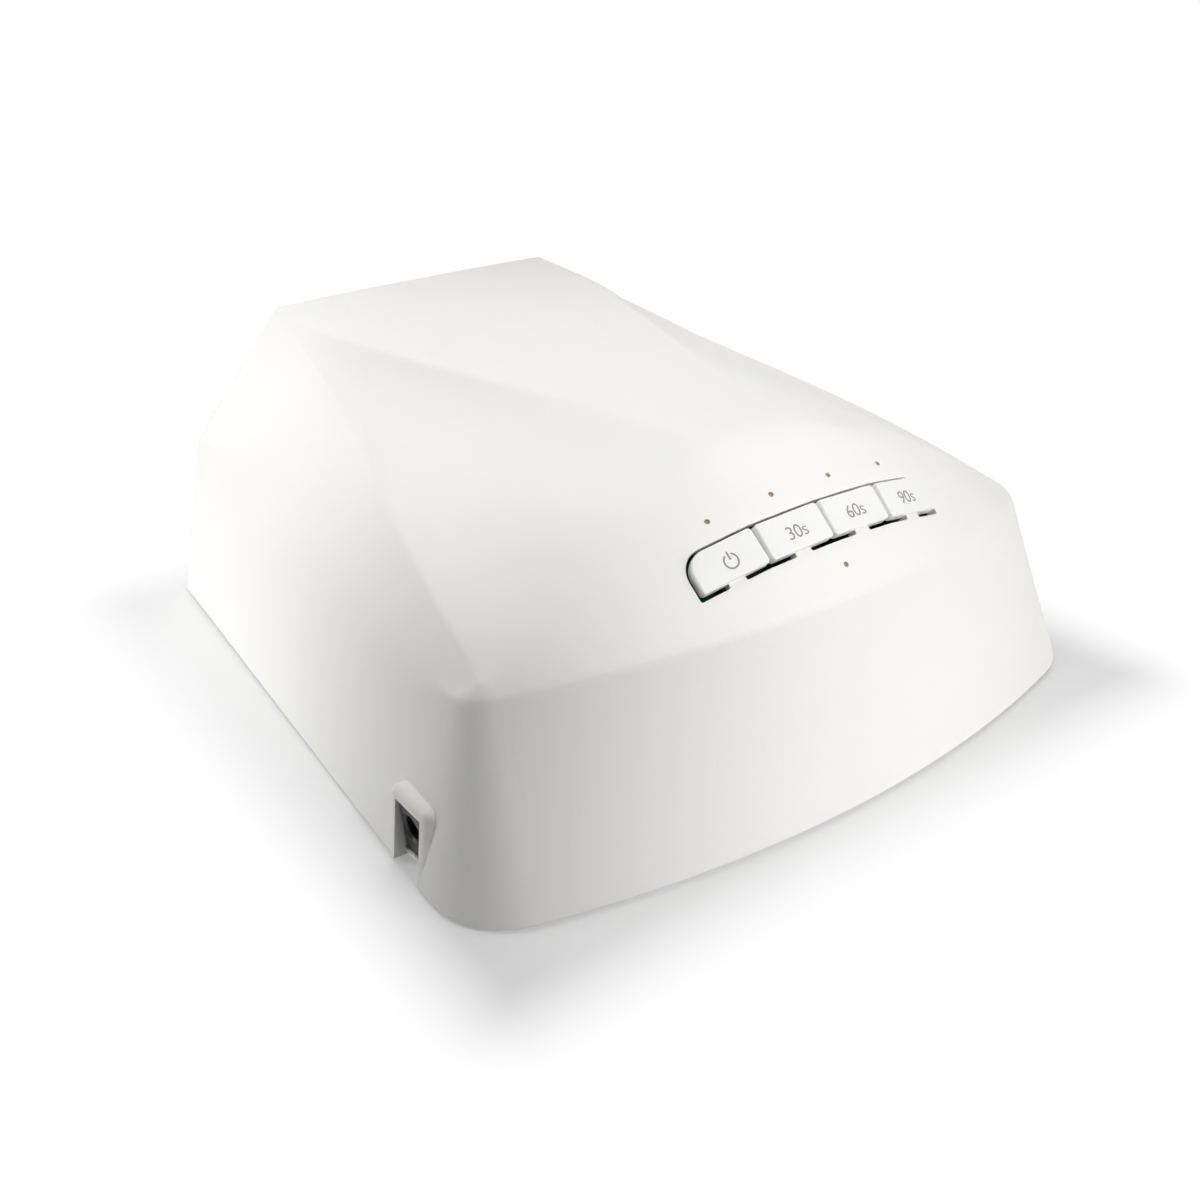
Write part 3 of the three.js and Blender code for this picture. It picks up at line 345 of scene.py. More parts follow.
class HousingShape:
    """The outer surface of the housing, worked out from its sizes."""

    def __init__(self):
        sizes = settings("housing")
        self.s = sizes
        self.k = settings("keys")
        self.half = sizes.width / 2
        self.near = -sizes.depth / 2
        self.far = sizes.depth / 2
        self.rim = sizes.stand
        self.top_edge = self.line(TOP_EDGE_SHARES)
        self.ridge = self.line(RIDGE_SHARES)
        self.panel_edge = self.line(PANEL_EDGE_SHARES)
        self.top_corner = self.top_edge.at(1)
        self.ridge_end = self.ridge.at(1)
        self.base_corner = point(BASE_CORNER_WIDTH_SHARE * self.half, self.along(BASE_CORNER_START_SHARE),
                                 self.rim)
        self.belt_corner = self.belt_side(self.along(BELT_CORNER_START_SHARE))
        self.belt_corner_end = self.belt_front(BELT_CORNER_END_SHARE * self.half)
        front = BASE_CORNER_END_SHARE * self.half
        self.base_turn = self.corner(self.base_corner, self.base_side(self.base_corner[1] + sizes.wall),
                                     self.base_front(front), self.base_front(front - sizes.wall))
        self.belt_turn = self.corner(self.belt_corner, self.belt_side(self.belt_corner[1] + sizes.wall),
                                     self.belt_corner_end,
                                     self.belt_front(self.belt_corner_end[0] - sizes.wall))

    def along(self, share):
        return self.near + share * self.s.depth

    def line(self, shares):
        return SmoothLine([point(x * self.half, self.along(y), self.rim + z * self.s.height)
                           for x, y, z in shares])

    def base_side(self, y):
        t = (y - self.base_corner[1]) / (self.far - self.base_corner[1])
        return point(mix(self.base_corner[0], BASE_FAR_WIDTH_SHARE * self.half, t), y, self.rim)

    def base_front(self, x):
        return point(x, self.near + self.s.base_sweep * (x / self.half) ** 2, self.rim)

    def belt_side(self, y):
        start = self.along(BELT_CORNER_START_SHARE)
        t = (y - start) / (self.far - start)
        up = mix(BELT_CORNER_HEIGHT_SHARE, BELT_FAR_HEIGHT_SHARE, t) * self.s.height
        lean = mix(SIDE_LEAN_NEAR, SIDE_LEAN_FAR, t)
        return point(self.base_side(y)[0] - lean * up, y, self.rim + up)

    def belt_front(self, x):
        bow = (x / self.half) ** 2
        up = BELT_FRONT_HEIGHT_SHARE * self.s.height - self.s.belt_drop * bow
        return point(x, self.near + self.s.belt_setback + self.s.belt_sweep * bow, self.rim + up)

    def corner(self, start, before, end, after):
        a, b, gap = start - before, end - after, end - start
        reach = (gap[0] * b[1] - gap[1] * b[0]) / (a[0] * b[1] - a[1] * b[0])
        tip = start + a * reach
        tip[2] = (start[2] + end[2]) / 2
        return lambda t: arc(start, tip, end, [t])[0]

    def panel_crest(self, x):
        top, end = self.top_corner, self.ridge_end
        if x <= top[0]:
            return point(x, top[1], top[2] + self.s.top_crown * (1 - (x / top[0]) ** 2))
        t = (x - top[0]) / (end[0] - top[0])
        return point(x, mix(top[1], end[1], t ** PANEL_TURN_POWER),
                     mix(top[2], end[2], t ** PANEL_FALL_POWER))

    def panel_at(self, x, y):
        side = abs(x)
        high = self.panel_crest(side)
        low = self.belt_front(side * self.belt_corner_end[0] / self.ridge_end[0])
        t = (high[1] - y) / (high[1] - low[1])
        full = self.top_corner[1] - self.belt_front(0)[1]
        bow = self.s.panel_bulge * (high[1] - low[1]) / full * 4 * t * (1 - t)
        return point(x, y, mix(high[2], low[2], t) + bow)

    def panel_edge_at(self, t):
        place = self.panel_edge.at_step(t)
        return self.panel_at(place[0], place[1])

    def key_row(self, x, offset):
        y = mix(self.top_corner[1], self.belt_front(0)[1], KEY_ROW_SHARE)
        return self.panel_at(x, y + self.k.row_sweep * (x / self.half) ** 2 + offset)

    def panel_frame(self, x, offset=0):
        """A frame on the panel: X along the key row, Y up the slope, Z straight out."""
        gap = self.k.gap
        across = Vector(self.key_row(x + gap, offset) - self.key_row(x - gap, offset)).normalized()
        up = Vector(self.key_row(x, offset + gap) - self.key_row(x, offset - gap)).normalized()
        out = across.cross(up).normalized()
        turn = Matrix((across, out.cross(across), out)).transposed().to_4x4()
        return Matrix.Translation(Vector(self.key_row(x, offset))) @ turn

    def shoulder_at(self, s, t):
        chord = mix(self.top_edge.at(s), self.ridge.at(s), t)
        last_chord = mix(self.top_corner, self.ridge_end, t)
        swell = (max(s - SWELL_START_SHARE, 0) / (1 - SWELL_START_SHARE)) ** SWELL_POWER
        hollow = self.s.scoop_depth * smooth(s / SCOOP_RUN_SHARE) * (1 - swell) * 4 * t * (1 - t)
        return chord + (self.panel_edge_at(t) - last_chord) * swell - point(0, 0, hollow)

    def upper_column(self, s):
        """Points from the middle of the top, over its edge and the shoulder, to the ridge."""
        edge, far = self.top_edge.at(s), self.ridge.at(s)
        span = distance(edge, far)
        edge_reach = min(self.s.edge_softness, span * EDGE_ROOM_SHARE)
        softness = mix(self.s.ridge_far, self.s.ridge_near, smooth(RIDGE_TAPER * s))
        ridge_reach = min(softness, span * EDGE_ROOM_SHARE)
        top = []
        for share in TOP_ROWS:
            x = share * (edge[0] - edge_reach)
            top.append(point(x, edge[1], edge[2] + self.s.top_crown * (1 - (x / edge[0]) ** 2)))
        first, last = edge_reach / span, 1 - ridge_reach / span
        outside = self.shoulder_at(s, first)
        soft = arc(top[-1], edge, outside, SOFT_ROWS)
        rows = [self.shoulder_at(s, mix(first, last, share)) for share in SCOOP_ROWS]
        return top + soft + [outside] + rows, self.shoulder_at(s, last), ridge_reach

    def lower_column(self, top, belt, base, softness, face_at):
        """Points from the top of a face, round the belt, to the rim."""
        room = min(distance(top, belt), distance(belt, base)) * BELT_ROOM_SHARE
        reach = min(softness, room)
        last = 1 - reach / distance(top, belt)
        approach = face_at(last)
        leave = mix(belt, base, reach / distance(belt, base))
        face = [face_at(share * last) for share in FACE_ROWS]
        skirt = [mix(leave, base, share) for share in SKIRT_ROWS]
        return face + [approach] + arc(approach, belt, leave, SOFT_ROWS) + [leave] + skirt

    def columns(self):
        """Points of one half of the surface: above the ridge and the panel's edge, and below them."""
        upper, lower = [], []
        for s in SIDE_COLUMNS:
            points, before, reach = self.upper_column(s)
            top = self.ridge.at(s)
            belt = self.belt_side(mix(self.far, self.belt_corner[1], s))
            base = self.base_side(mix(self.far, self.base_corner[1], s))
            after = mix(top, belt, reach / distance(top, belt))
            fade = smooth((1 - s) * SIDE_STEPS / RIDGE_FADE_STEPS)
            ridge = [mix(mix(before, top, t), p, fade)
                     for t, p in zip(RIDGE_ROWS, arc(before, top, after, [t / 2 for t in RIDGE_ROWS]))]
            softness = max(self.s.belt_crispness, self.s.belt_softness * math.sin(math.pi * s))
            start = ridge[-1]

            def side_at(t, top=top, belt=belt, start=start):
                on_line = mix(top, belt, t)
                lift = start - top
                return on_line + lift * (1 - smooth(t * distance(top, belt) / (reach + MM)))
            upper.append(points + [before] + ridge)
            lower.append([start] + self.lower_column(top, belt, base, softness, side_at))
        end = self.ridge_end
        for t in np.linspace(0, 1, CORNER_STEPS + 1)[1:]:
            belt = self.belt_turn(t)

            def corner_face_at(share, t=t, belt=belt):
                edge = mix(end, self.belt_corner_end, share)
                lift = self.panel_at(edge[0], edge[1])[2] - edge[2]
                return mix(end, belt, share) + point(0, 0, lift * t)
            lower.append([end] + self.lower_column(end, belt, self.base_turn(t), self.s.belt_crispness,
                                                   corner_face_at))
        for top in reversed(upper[-1][:-1]):
            share = top[0] / end[0]
            belt = self.belt_front(share * self.belt_corner_end[0])
            base = self.base_front(share * BASE_CORNER_END_SHARE * self.half)
            rise = top[2] - self.panel_at(top[0], top[1])[2]

            def panel_face_at(t, top=top, belt=belt, rise=rise):
                on_line = mix(top, belt, t)
                return self.panel_at(on_line[0], on_line[1]) + point(0, 0, rise * (1 - t))
            lower.append([top] + self.lower_column(top, belt, base, self.s.belt_crispness, panel_face_at))
        return upper, lower


SIDE_STEPS = 60
CORNER_STEPS = 12
RIDGE_FADE_STEPS = 2
SIDE_COLUMNS = np.linspace(0, 1, SIDE_STEPS + 1)
TOP_ROWS = np.linspace(0, 1, 7)
SOFT_ROWS = np.linspace(0, 1, 7)[1:-1]
SCOOP_ROWS = np.linspace(0, 1, 23)[1:-1]
RIDGE_ROWS = np.linspace(0, 1, 6)[1:]
FACE_ROWS = np.linspace(0, 1, 14)[1:-1]
SKIRT_ROWS = np.linspace(0, 1, 9)[1:]
CREASE_STEPS = 60
CREASE_TURNS = 6
END_TURNS = 40
SOFT_FADE = 3 * MM


# Blender's tools

def deselect():
    bpy.ops.object.select_all(action="DESELECT")


def activate(piece):
    deselect()
    piece.select_set(True)
    bpy.context.view_layer.objects.active = piece


def added(name):
    """The object that the last primitive made, under its own name."""
    piece = bpy.context.object
    piece.name = name
    piece.data.name = name
    return piece


def linked(name, data):
    """A new object in the scene, at the origin."""
    thing = bpy.data.objects.new(name, data)
    bpy.context.scene.collection.objects.link(thing)
    return thing


def discard(*pieces):
    for piece in pieces:
        bpy.data.objects.remove(piece)


def edit(piece, mode, action):
    activate(piece)
    bpy.ops.object.mode_set(mode="EDIT")
    bpy.ops.mesh.select_mode(type=mode)
    bpy.ops.mesh.select_all(action=action)


def edit_done():
    bpy.ops.object.mode_set(mode="OBJECT")


def bevel_edges(piece, chosen, reach, segments):
    """Rounds the edges whose two ends the test chooses."""
    edit(piece, "EDGE", "DESELECT")
    edit_done()
    mesh = piece.data
    for edge in mesh.edges:
        a, b = (mesh.vertices[i].co for i in edge.vertices)
        edge.select = bool(chosen(a, b))
    bpy.ops.object.mode_set(mode="EDIT")
    bpy.ops.mesh.bevel(offset=reach, segments=segments, affect="EDGES", clamp_overlap=True)
    edit_done()


def apply_modifier(piece, kind, **values):
    activate(piece)
    modifier = piece.modifiers.new(kind.lower(), kind)
    for name, value in values.items():
        setattr(modifier, name, value)
    bpy.ops.object.modifier_apply(modifier=modifier.name)


def place(piece, matrix):
    """Moves a piece's points, so that its object stays at the origin."""
    piece.data.transform(matrix)


def settle(piece):
    """Applies the place that a primitive was given."""
    activate(piece)
    bpy.ops.object.transform_apply(location=True, rotation=True, scale=True)
    return piece


def join(name, pieces):
    deselect()
    for piece in pieces:
        piece.select_set(True)
    bpy.context.view_layer.objects.active = pieces[0]
    if len(pieces) > 1:
        bpy.ops.object.join()
    return added(name)


def merge(piece, reach=HAIR / 2):
    edit(piece, "VERT", "SELECT")
    bpy.ops.mesh.remove_doubles(threshold=reach)
    bpy.ops.mesh.normals_make_consistent(inside=False)
    edit_done()


def smooth_shade(piece, angle=PIECE_ANGLE):
    activate(piece)
    bpy.ops.object.shade_smooth_by_angle(angle=math.radians(angle))


def boolean(piece, other, operation):
    apply_modifier(piece, "BOOLEAN", operation=operation, object=other, solver="EXACT")
    discard(other)


def rod(name, radius, low, high, sides=48):
    bpy.ops.mesh.primitive_cylinder_add(vertices=sides, radius=radius, depth=high - low,
                                        location=(0, 0, (low + high) / 2))
    return settle(added(name))


def block(name, low, high):
    bpy.ops.mesh.primitive_cube_add(size=1, location=[(a + b) / 2 for a, b in zip(low, high)],
                                    scale=[b - a for a, b in zip(low, high)])
    return settle(added(name))


def upright(a, b, x, y):
    """Whether an edge stands upright on a place."""
    return all(abs(p.x - x) < HAIR and abs(p.y - y) < HAIR for p in (a, b))


def rounded_slab(name, low, high, radii, segments=10):
    """A block with a radius for each upright edge: left low, right low, right high, left high."""
    piece = block(name, low, high)
    corners = ((low[0], low[1]), (high[0], low[1]), (high[0], high[1]), (low[0], high[1]))
    for (x, y), radius in zip(corners, radii):
        bevel_edges(piece, lambda a, b, x=x, y=y: upright(a, b, x, y), radius, segments)
    return piece


def surface_grid(name, columns):
    """A grid whose points are drawn onto columns of points."""
    deselect()
    bpy.ops.mesh.primitive_grid_add(x_subdivisions=len(columns) - 1, y_subdivisions=len(columns[0]) - 1)
    piece = added(name)
    rows = np.array(columns).transpose(1, 0, 2)
    piece.data.vertices.foreach_set("co", rows.reshape(-1))
    piece.data.update()
    return piece


def lathe(name, profile, steps=48):
    """A turned form, spun from its profile of radius and height in millimetres."""
    profile = [(r * MM, z * MM) for r, z in profile]
    deselect()
    bpy.ops.mesh.primitive_plane_add(size=MM)
    piece = added(name)
    edit(piece, "VERT", "SELECT")
    bpy.ops.mesh.merge(type="CENTER")
    bpy.ops.transform.translate(value=(profile[0][0], 0, profile[0][1]))
    for (r0, z0), (r1, z1) in zip(profile, profile[1:]):
        bpy.ops.mesh.extrude_vertices_move(TRANSFORM_OT_translate={"value": (r1 - r0, 0, z1 - z0)})
    bpy.ops.mesh.select_all(action="SELECT")
    bpy.ops.mesh.spin(steps=steps, angle=2 * math.pi, center=(0, 0, 0), axis=(0, 0, 1))
    edit_done()
    merge(piece)
    smooth_shade(piece, ROUND_ANGLE)
    return piece


def softened(node, name, reach):
    """A copy of a solid with its edges rounded."""
    piece = linked(name, frame["nodes"][node].data.copy())
    merge(piece)
    edit(piece, "VERT", "SELECT")
    bpy.ops.mesh.dissolve_limited(angle_limit=math.radians(0.5))
    edit_done()
    apply_modifier(piece, "BEVEL", width=reach, segments=3, limit_method="ANGLE",
                   angle_limit=math.radians(30), use_clamp_overlap=True, harden_normals=False)
    return piece


def copy_of(piece, name, matrix):
    """A copy with its own mesh, moved to its place."""
    other = linked(name, piece.data.copy())
    other.data.name = name
    place(other, matrix)
    return other


def middle_of(node):
    low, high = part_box(node)
    return (low + high) / 2


def finish_piece(piece, body, slot, *replaced, ink=None):
    """Gives a piece the material of its slot, or of its ink, puts it under its body, and hides the solids
    that it stands for.
    """
    piece.data.materials.clear()
    piece.data.materials.append(finish_named(ink or slot))
    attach(piece, body)
    if replaced:
        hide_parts(*replaced)


# Nodes and materials

def add_node(tree, kind, inputs, **values):
    """Adds a shader node. Each of its inputs is a value or another node's output."""
    node = tree.nodes.new("ShaderNode" + kind)
    for name, value in values.items():
        setattr(node, name, value)
    for socket, value in inputs.items():
        if isinstance(value, bpy.types.NodeSocket):
            tree.links.new(value, node.inputs[socket])
        else:
            node.inputs[socket].default_value = value
    return node


def shade_of(base, factor):
    return tuple(min(1, c * factor) for c in base)


class Finish:
    """A material of noise, tints and bumps round one principled shader. Its sizes are in millimetres."""

    def __init__(self, name, base, roughness, inputs={}):
        self.base = tuple(base)
        self.material = bpy.data.materials.new(name + "_finish")
        self.material.use_nodes = True
        self.tree = self.material.node_tree
        self.shader = self.tree.nodes["Principled BSDF"]
        for socket, value in {"Base Color": (*base, 1), "Roughness": roughness, **inputs}.items():
            self.shader.inputs[socket].default_value = value
        self.place = self.add("TexCoord", {}, "Object")

    def add(self, kind, inputs, output, **values):
        return add_node(self.tree, kind, inputs, **values).outputs[output]

    def scaled(self, size, stretch):
        return self.add("Mapping", {"Vector": self.place, "Scale": [1 / (size * MM * s) for s in stretch]},
                        "Vector")

    def noise(self, size, detail, stretch=(1, 1, 1)):
        """Noise whose lumps have the given size."""
        return self.add("TexNoise", {"Scale": 1, "Detail": detail, "Vector": self.scaled(size, stretch)},
                        "Fac")

    def cells(self, size, stretch):
        """How far a place lies from the edges of cells of the given size."""
        return self.add("TexVoronoi", {"Scale": 1, "Vector": self.scaled(size, stretch)}, "Distance",
                        feature="DISTANCE_TO_EDGE")

    def spread(self, value, low, high, start=0.3, end=0.7):
        """Maps the middle range of a noise onto other limits."""
        return self.add("MapRange", {"From Min": start, "From Max": end, "To Min": low, "To Max": high,
                                     "Value": value}, "Result")

    def blend(self, value, other):
        """Mixes the base colour with another one where the value is high."""
        before = self.shader.inputs["Base Color"]
        source = before.links[0].from_socket if before.is_linked else before.default_value
        mixed = self.add("Mix", {"A": source, "B": (*other, 1), "Factor": value}, "Result", data_type="RGBA")
        self.tree.links.new(mixed, before)

    def tint(self, value, share, factor):
        """Darkens or lightens the base colour by a factor where the value is high."""
        self.blend(self.spread(value, 0, share), shade_of(self.base, factor))

    def polish(self, value, low, high):
        self.tree.links.new(self.spread(value, low, high), self.shader.inputs["Roughness"])

    def bump(self, value, height, strength):
        before = self.shader.inputs["Normal"]
        inputs = {"Distance": height * MM, "Strength": strength, "Height": value}
        if before.is_linked:
            inputs["Normal"] = before.links[0].from_socket
        self.tree.links.new(self.add("Bump", inputs, "Normal"), before)


def housing_finish():
    """Satin white moulded plastic with a fine spark-eroded grain."""
    finish = Finish("housing_white", settings("colours").housing, 0.5, {"Specular IOR Level": 0.4})
    finish.tint(finish.noise(30, 2), 0.35, 0.985)
    finish.polish(finish.noise(8, 4), 0.46, 0.56)
    finish.bump(finish.noise(0.55, 2), 0.03, 0.8)
    finish.bump(finish.noise(12, 1), 0.02, 0.3)
    return finish


def key_finish():
    finish = Finish("key_white", settings("colours").key, 0.4)
    finish.tint(finish.noise(6, 2), 0.3, 0.99)
    finish.polish(finish.noise(2, 3), 0.36, 0.45)
    finish.bump(finish.noise(0.3, 2), 0.006, 0.6)
    return finish


def tray_finish():
    finish = Finish("tray_white", shade_of(settings("colours").housing, 0.985), 0.5)
    finish.tint(finish.noise(20, 2), 0.4, 0.98)
    finish.polish(finish.noise(1.5, 3, (1, 12, 1)), 0.42, 0.6)
    finish.bump(finish.noise(0.6, 2), 0.02, 0.8)
    return finish


def legend_finish():
    finish = Finish("legend_ink", settings("colours").legend, 0.6)
    finish.tint(finish.noise(0.4, 3), 0.25, 1.2)
    finish.bump(finish.noise(0.2, 1), 0.004, 0.5)
    return finish


def light_finish():
    inputs = {"Subsurface Weight": 0.2, "Subsurface Scale": MM}
    finish = Finish("light_guide", settings("colours").light, 0.3, inputs)
    finish.tint(finish.noise(0.8, 2), 0.4, 1.25)
    finish.bump(finish.noise(0.4, 2), 0.01, 0.5)
    return finish


def black_finish(name, base, roughness):
    finish = Finish(name, base, roughness)
    finish.tint(finish.noise(3.2, 2), 0.5, 1.5)
    finish.polish(finish.noise(1.2, 3), roughness - 0.06, roughness + 0.08)
    finish.bump(finish.noise(0.4, 2), 0.016, 0.7)
    return finish


def switch_finish():
    return black_finish("switch_black", (0.03, 0.03, 0.032), 0.45)


def socket_finish():
    return black_finish("socket_black", settings("colours").socket, 0.4)


def stem_finish():
    finish = Finish("stem_ivory", (0.7, 0.66, 0.55), 0.45)
    finish.tint(finish.noise(1, 2), 0.4, 0.9)
    finish.bump(finish.noise(0.3, 2), 0.01, 0.5)
    return finish


def board_finish(name, base, trace):
    """Solder resist over a laminate, with the traces showing through as a faint pattern."""
    finish = Finish(name, base, 0.35)
    finish.blend(finish.spread(finish.cells(2.5, (1, 3, 1)), 0.9, 0, 0.04, 0.06), trace)
    finish.tint(finish.noise(4, 2), 0.35, 0.8)
    finish.bump(finish.cells(2.5, (1, 3, 1)), 0.02, 0.5)
    return finish


def green_board_finish():
    return board_finish("board_green", settings("colours").board, (0.03, 0.16, 0.08))


def white_board_finish():
    return board_finish("board_white", (0.82, 0.82, 0.8), (0.7, 0.7, 0.68))


def steel_finish():
    finish = Finish("steel", (0.6, 0.61, 0.62), 0.35, {"Metallic": 1})
    finish.tint(finish.noise(1, 3), 0.5, 0.8)
    finish.polish(finish.noise(0.3, 3, (1, 1, 8)), 0.25, 0.45)
    finish.bump(finish.noise(0.2, 2), 0.006, 0.5)
    return finish


def liner_finish():
    """Vacuum-metallised plastic, with the slight ripples of a thin bright layer."""
    finish = Finish("liner_silver", settings("colours").liner, 0.32, {"Metallic": 0.9})
    finish.tint(finish.noise(20, 2), 0.4, 0.93)
    finish.polish(finish.noise(12, 2), 0.28, 0.38)
    finish.bump(finish.noise(20, 1), 0.04, 0.4)
    return finish


def lens_finish():
    finish = Finish("lamp_lens", settings("colours").lens, 0.08, {"Coat Weight": 0.6})
    finish.tint(finish.noise(1.5, 2), 0.5, 0.9)
    finish.bump(finish.noise(1, 1), 0.01, 0.4)
    return finish


def rubber_finish():
    finish = Finish("foot_rubber", settings("colours").rubber, 0.85)
    finish.tint(finish.noise(3, 3), 0.5, 1.8)
    finish.bump(finish.noise(0.4, 3), 0.03, 0.8)
    return finish


def sleeve_finish():
    """Shrink sleeve of the capacitor."""
    finish = Finish("capacitor_black", (0.02, 0.022, 0.03), 0.25)
    finish.blend(finish.spread(finish.noise(3, 2, (1, 1, 5)), 0, 0.4), (0.06, 0.06, 0.075))
    finish.bump(finish.noise(2, 2, (1, 1, 4)), 0.03, 0.6)
    return finish


def ferrite_finish():
    finish = Finish("choke_core", (0.05, 0.045, 0.042), 0.65)
    finish.blend(finish.spread(finish.noise(0.6, 4), 0, 0.7), (0.11, 0.1, 0.095))
    finish.bump(finish.noise(0.3, 3), 0.03, 0.8)
    return finish


FINISH_MAKERS = {
    "housing_white": housing_finish,
    "tray_white": tray_finish,
    "key_white": key_finish,
    "legend_ink": legend_finish,
    "light_guide": light_finish,
    "switch_black": switch_finish,
    "socket_black": socket_finish,
    "stem_ivory": stem_finish,
    "board_green": green_board_finish,
    "board_white": white_board_finish,
    "lamp_lens": lens_finish,
    "steel": steel_finish,
    "foot_rubber": rubber_finish,
    "capacitor_black": sleeve_finish,
    "choke_core": ferrite_finish,
    "liner_silver": liner_finish,
}


def finish_named(name):
    return bpy.data.materials.get(name + "_finish") or FINISH_MAKERS[name]().material


class NAILLAMP_OT_finishes(bpy.types.Operator):
    """Gives each solid of the frame the material of its slot"""
    bl_idname = "nail_lamp.finishes"
    bl_label = "Finishes"

    def execute(self, context):
        for row in frame["record"]["subparts"]:
            node = frame["nodes"][row["node"]]
            node.data.materials.clear()
            node.data.materials.append(finish_named(row["material_slot"]))
        return {"FINISHED"}


# Housing

def skin(shape):
    """The outer skin of the housing, both halves."""
    upper, lower = shape.columns()
    piece = join("top_shell_smooth", [surface_grid("upper", upper), surface_grid("lower", lower)])
    merge(piece, SKIN_WELD)
    apply_modifier(piece, "MIRROR", use_axis=(True, False, False), use_clip=False,
                   merge_threshold=MIRROR_WELD)
    merge(piece, SKIN_WELD)
    widest = shape.base_corner[0]
    for vertex in piece.data.vertices:
        vertex.co.x = min(max(vertex.co.x, -widest), widest)
    return piece


def soften_near(piece, shape, from_here, reach, turns):
    """Smooths the skin near a place, above the belt only."""
    group = piece.vertex_groups.new(name="soft")
    for vertex in piece.data.vertices:
        x, y, z = vertex.co
        if y < 0:
            weight = smooth(2 - 2 * from_here(Vector((abs(x), y, z))) / reach)
            weight *= smooth((z - shape.ridge_end[2]) / SOFT_FADE + 1)
            if weight > 0:
                group.add([vertex.index], weight, "REPLACE")
    apply_modifier(piece, "SMOOTH", factor=0.5, iterations=turns, vertex_group="soft")
    piece.vertex_groups.clear()


def soften_panel_edge(piece, shape):
    """Rounds the crease between the shoulders and the key panel, most of all at the end of the ridge."""
    crease = [Vector(shape.panel_edge_at(t)) for t in np.linspace(0, 1, CREASE_STEPS)]
    end = Vector(shape.ridge_end)
    soften_near(piece, shape, lambda place: min((place - spot).length for spot in crease),
                shape.s.crease_softness, CREASE_TURNS)
    soften_near(piece, shape, lambda place: (place - end).length, shape.s.end_softness, END_TURNS)


def give_wall(piece, shape):
    """Gives the skin its thickness and keeps its rims flat."""
    outer = len(piece.data.vertices)
    apply_modifier(piece, "SOLIDIFY", thickness=shape.s.wall, offset=-1, use_rim=True)
    vertices = piece.data.vertices
    for i in range(outer):
        if vertices[i].co.y > shape.far - TOUCH:
            vertices[i + outer].co.y = vertices[i].co.y
        if vertices[i].co.z < shape.rim + TOUCH:
            vertices[i + outer].co.z = vertices[i].co.z


def boss(shape):
    """The raised surround of the power socket, down to the rim."""
    s = settings("socket")
    half = s.notch_width / 2 + s.boss_wall
    piece = rounded_slab("boss", (-half, -CLEAR, -s.boss_reach), (half, s.notch_height + s.boss_roof, 0),
                         (0, 0, s.boss_corner, s.boss_corner))
    bevel_edges(piece, lambda a, b: min(a.z, b.z) > -TOUCH, s.boss_edge, 8)
    lean = math.atan(BOSS_LEAN_SHARE)
    y = shape.along(SOCKET_ALONG_SHARE)
    across, up = Vector((0, -1, 0)), Vector((math.sin(lean), 0, math.cos(lean)))
    turn = Matrix((across, up, across.cross(up))).transposed().to_4x4()
    place(piece, Matrix.Translation((-shape.base_side(y)[0], y, shape.rim)) @ turn)
    below = block("below", (-shape.s.width, -shape.s.depth, -shape.s.height), (0, 0, shape.rim))
    boolean(piece, below, "DIFFERENCE")
    return piece


def notch(shape):
    s = settings("socket")
    y, half = shape.along(SOCKET_ALONG_SHARE), s.notch_width / 2
    return block("notch", (-shape.half - CLEAR, y - half, shape.rim - CLEAR),
                 (-shape.half + s.notch_depth, y + half, shape.rim + s.notch_height))


def key_corners(index, small, k, grow=0):
    """Corner radii of a key: left low, right low, right high, left high."""
    end = k.end_corner + grow
    return small, small, end if index > 1 else small, end if index < -1 else small


def key_window(shape, index):
    """The opening of a key and the slots beside the strip that carries it."""
    k = shape.k
    half, foot = (k.pitch + k.gap) / 2, -k.height / 2
    left = half + (k.end_room if index < -1 else 0)
    right = half + (k.end_room if index > 1 else 0)
    high = k.height / 2 + k.gap
    deep, clear = -CUT_DEEP, CUT_CLEAR
    window = rounded_slab("window", (-left, -high, deep), (right, high + k.top_room, clear),
                          key_corners(index, 0, k, k.gap + k.end_room))
    tongue = block("tongue", (-k.tongue / 2, -high - MM, deep - MM), (k.tongue / 2, foot, clear + MM))
    boolean(window, tongue, "DIFFERENCE")
    radius = k.slot / 2 - 2 * HAIR
    slots = [rounded_slab("slot", (start, foot - k.slot, deep), (end, foot + k.corner, clear),
                          (radius, radius, 0, 0), 6)
             for start, end in ((-left, -k.tongue / 2), (k.tongue / 2, right))]
    for slot in slots:
        boolean(window, slot, "UNION")
    place(window, shape.panel_frame(index * k.pitch))
    return window


def light_places(shape):
    k = shape.k
    places = [(share * k.pitch, k.light_reach) for share in LIGHT_ACROSS_SHARES] + [(0, -k.light_reach)]
    return [shape.panel_frame(x, offset) for x, offset in places]


def screw_rods(name, radius, span, sides):
    """Rods on the base screws, whose ends follow from the heights of each screw's two ends."""
    rods = []
    for i in SCREWS:
        low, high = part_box(f"base_screw_{i}")
        piece = rod(name, radius, *span(low.z, high.z), sides)
        place(piece, Matrix.Translation(((low.x + high.x) / 2, (low.y + high.y) / 2, 0)))
        rods.append(piece)
    return join(name, rods)


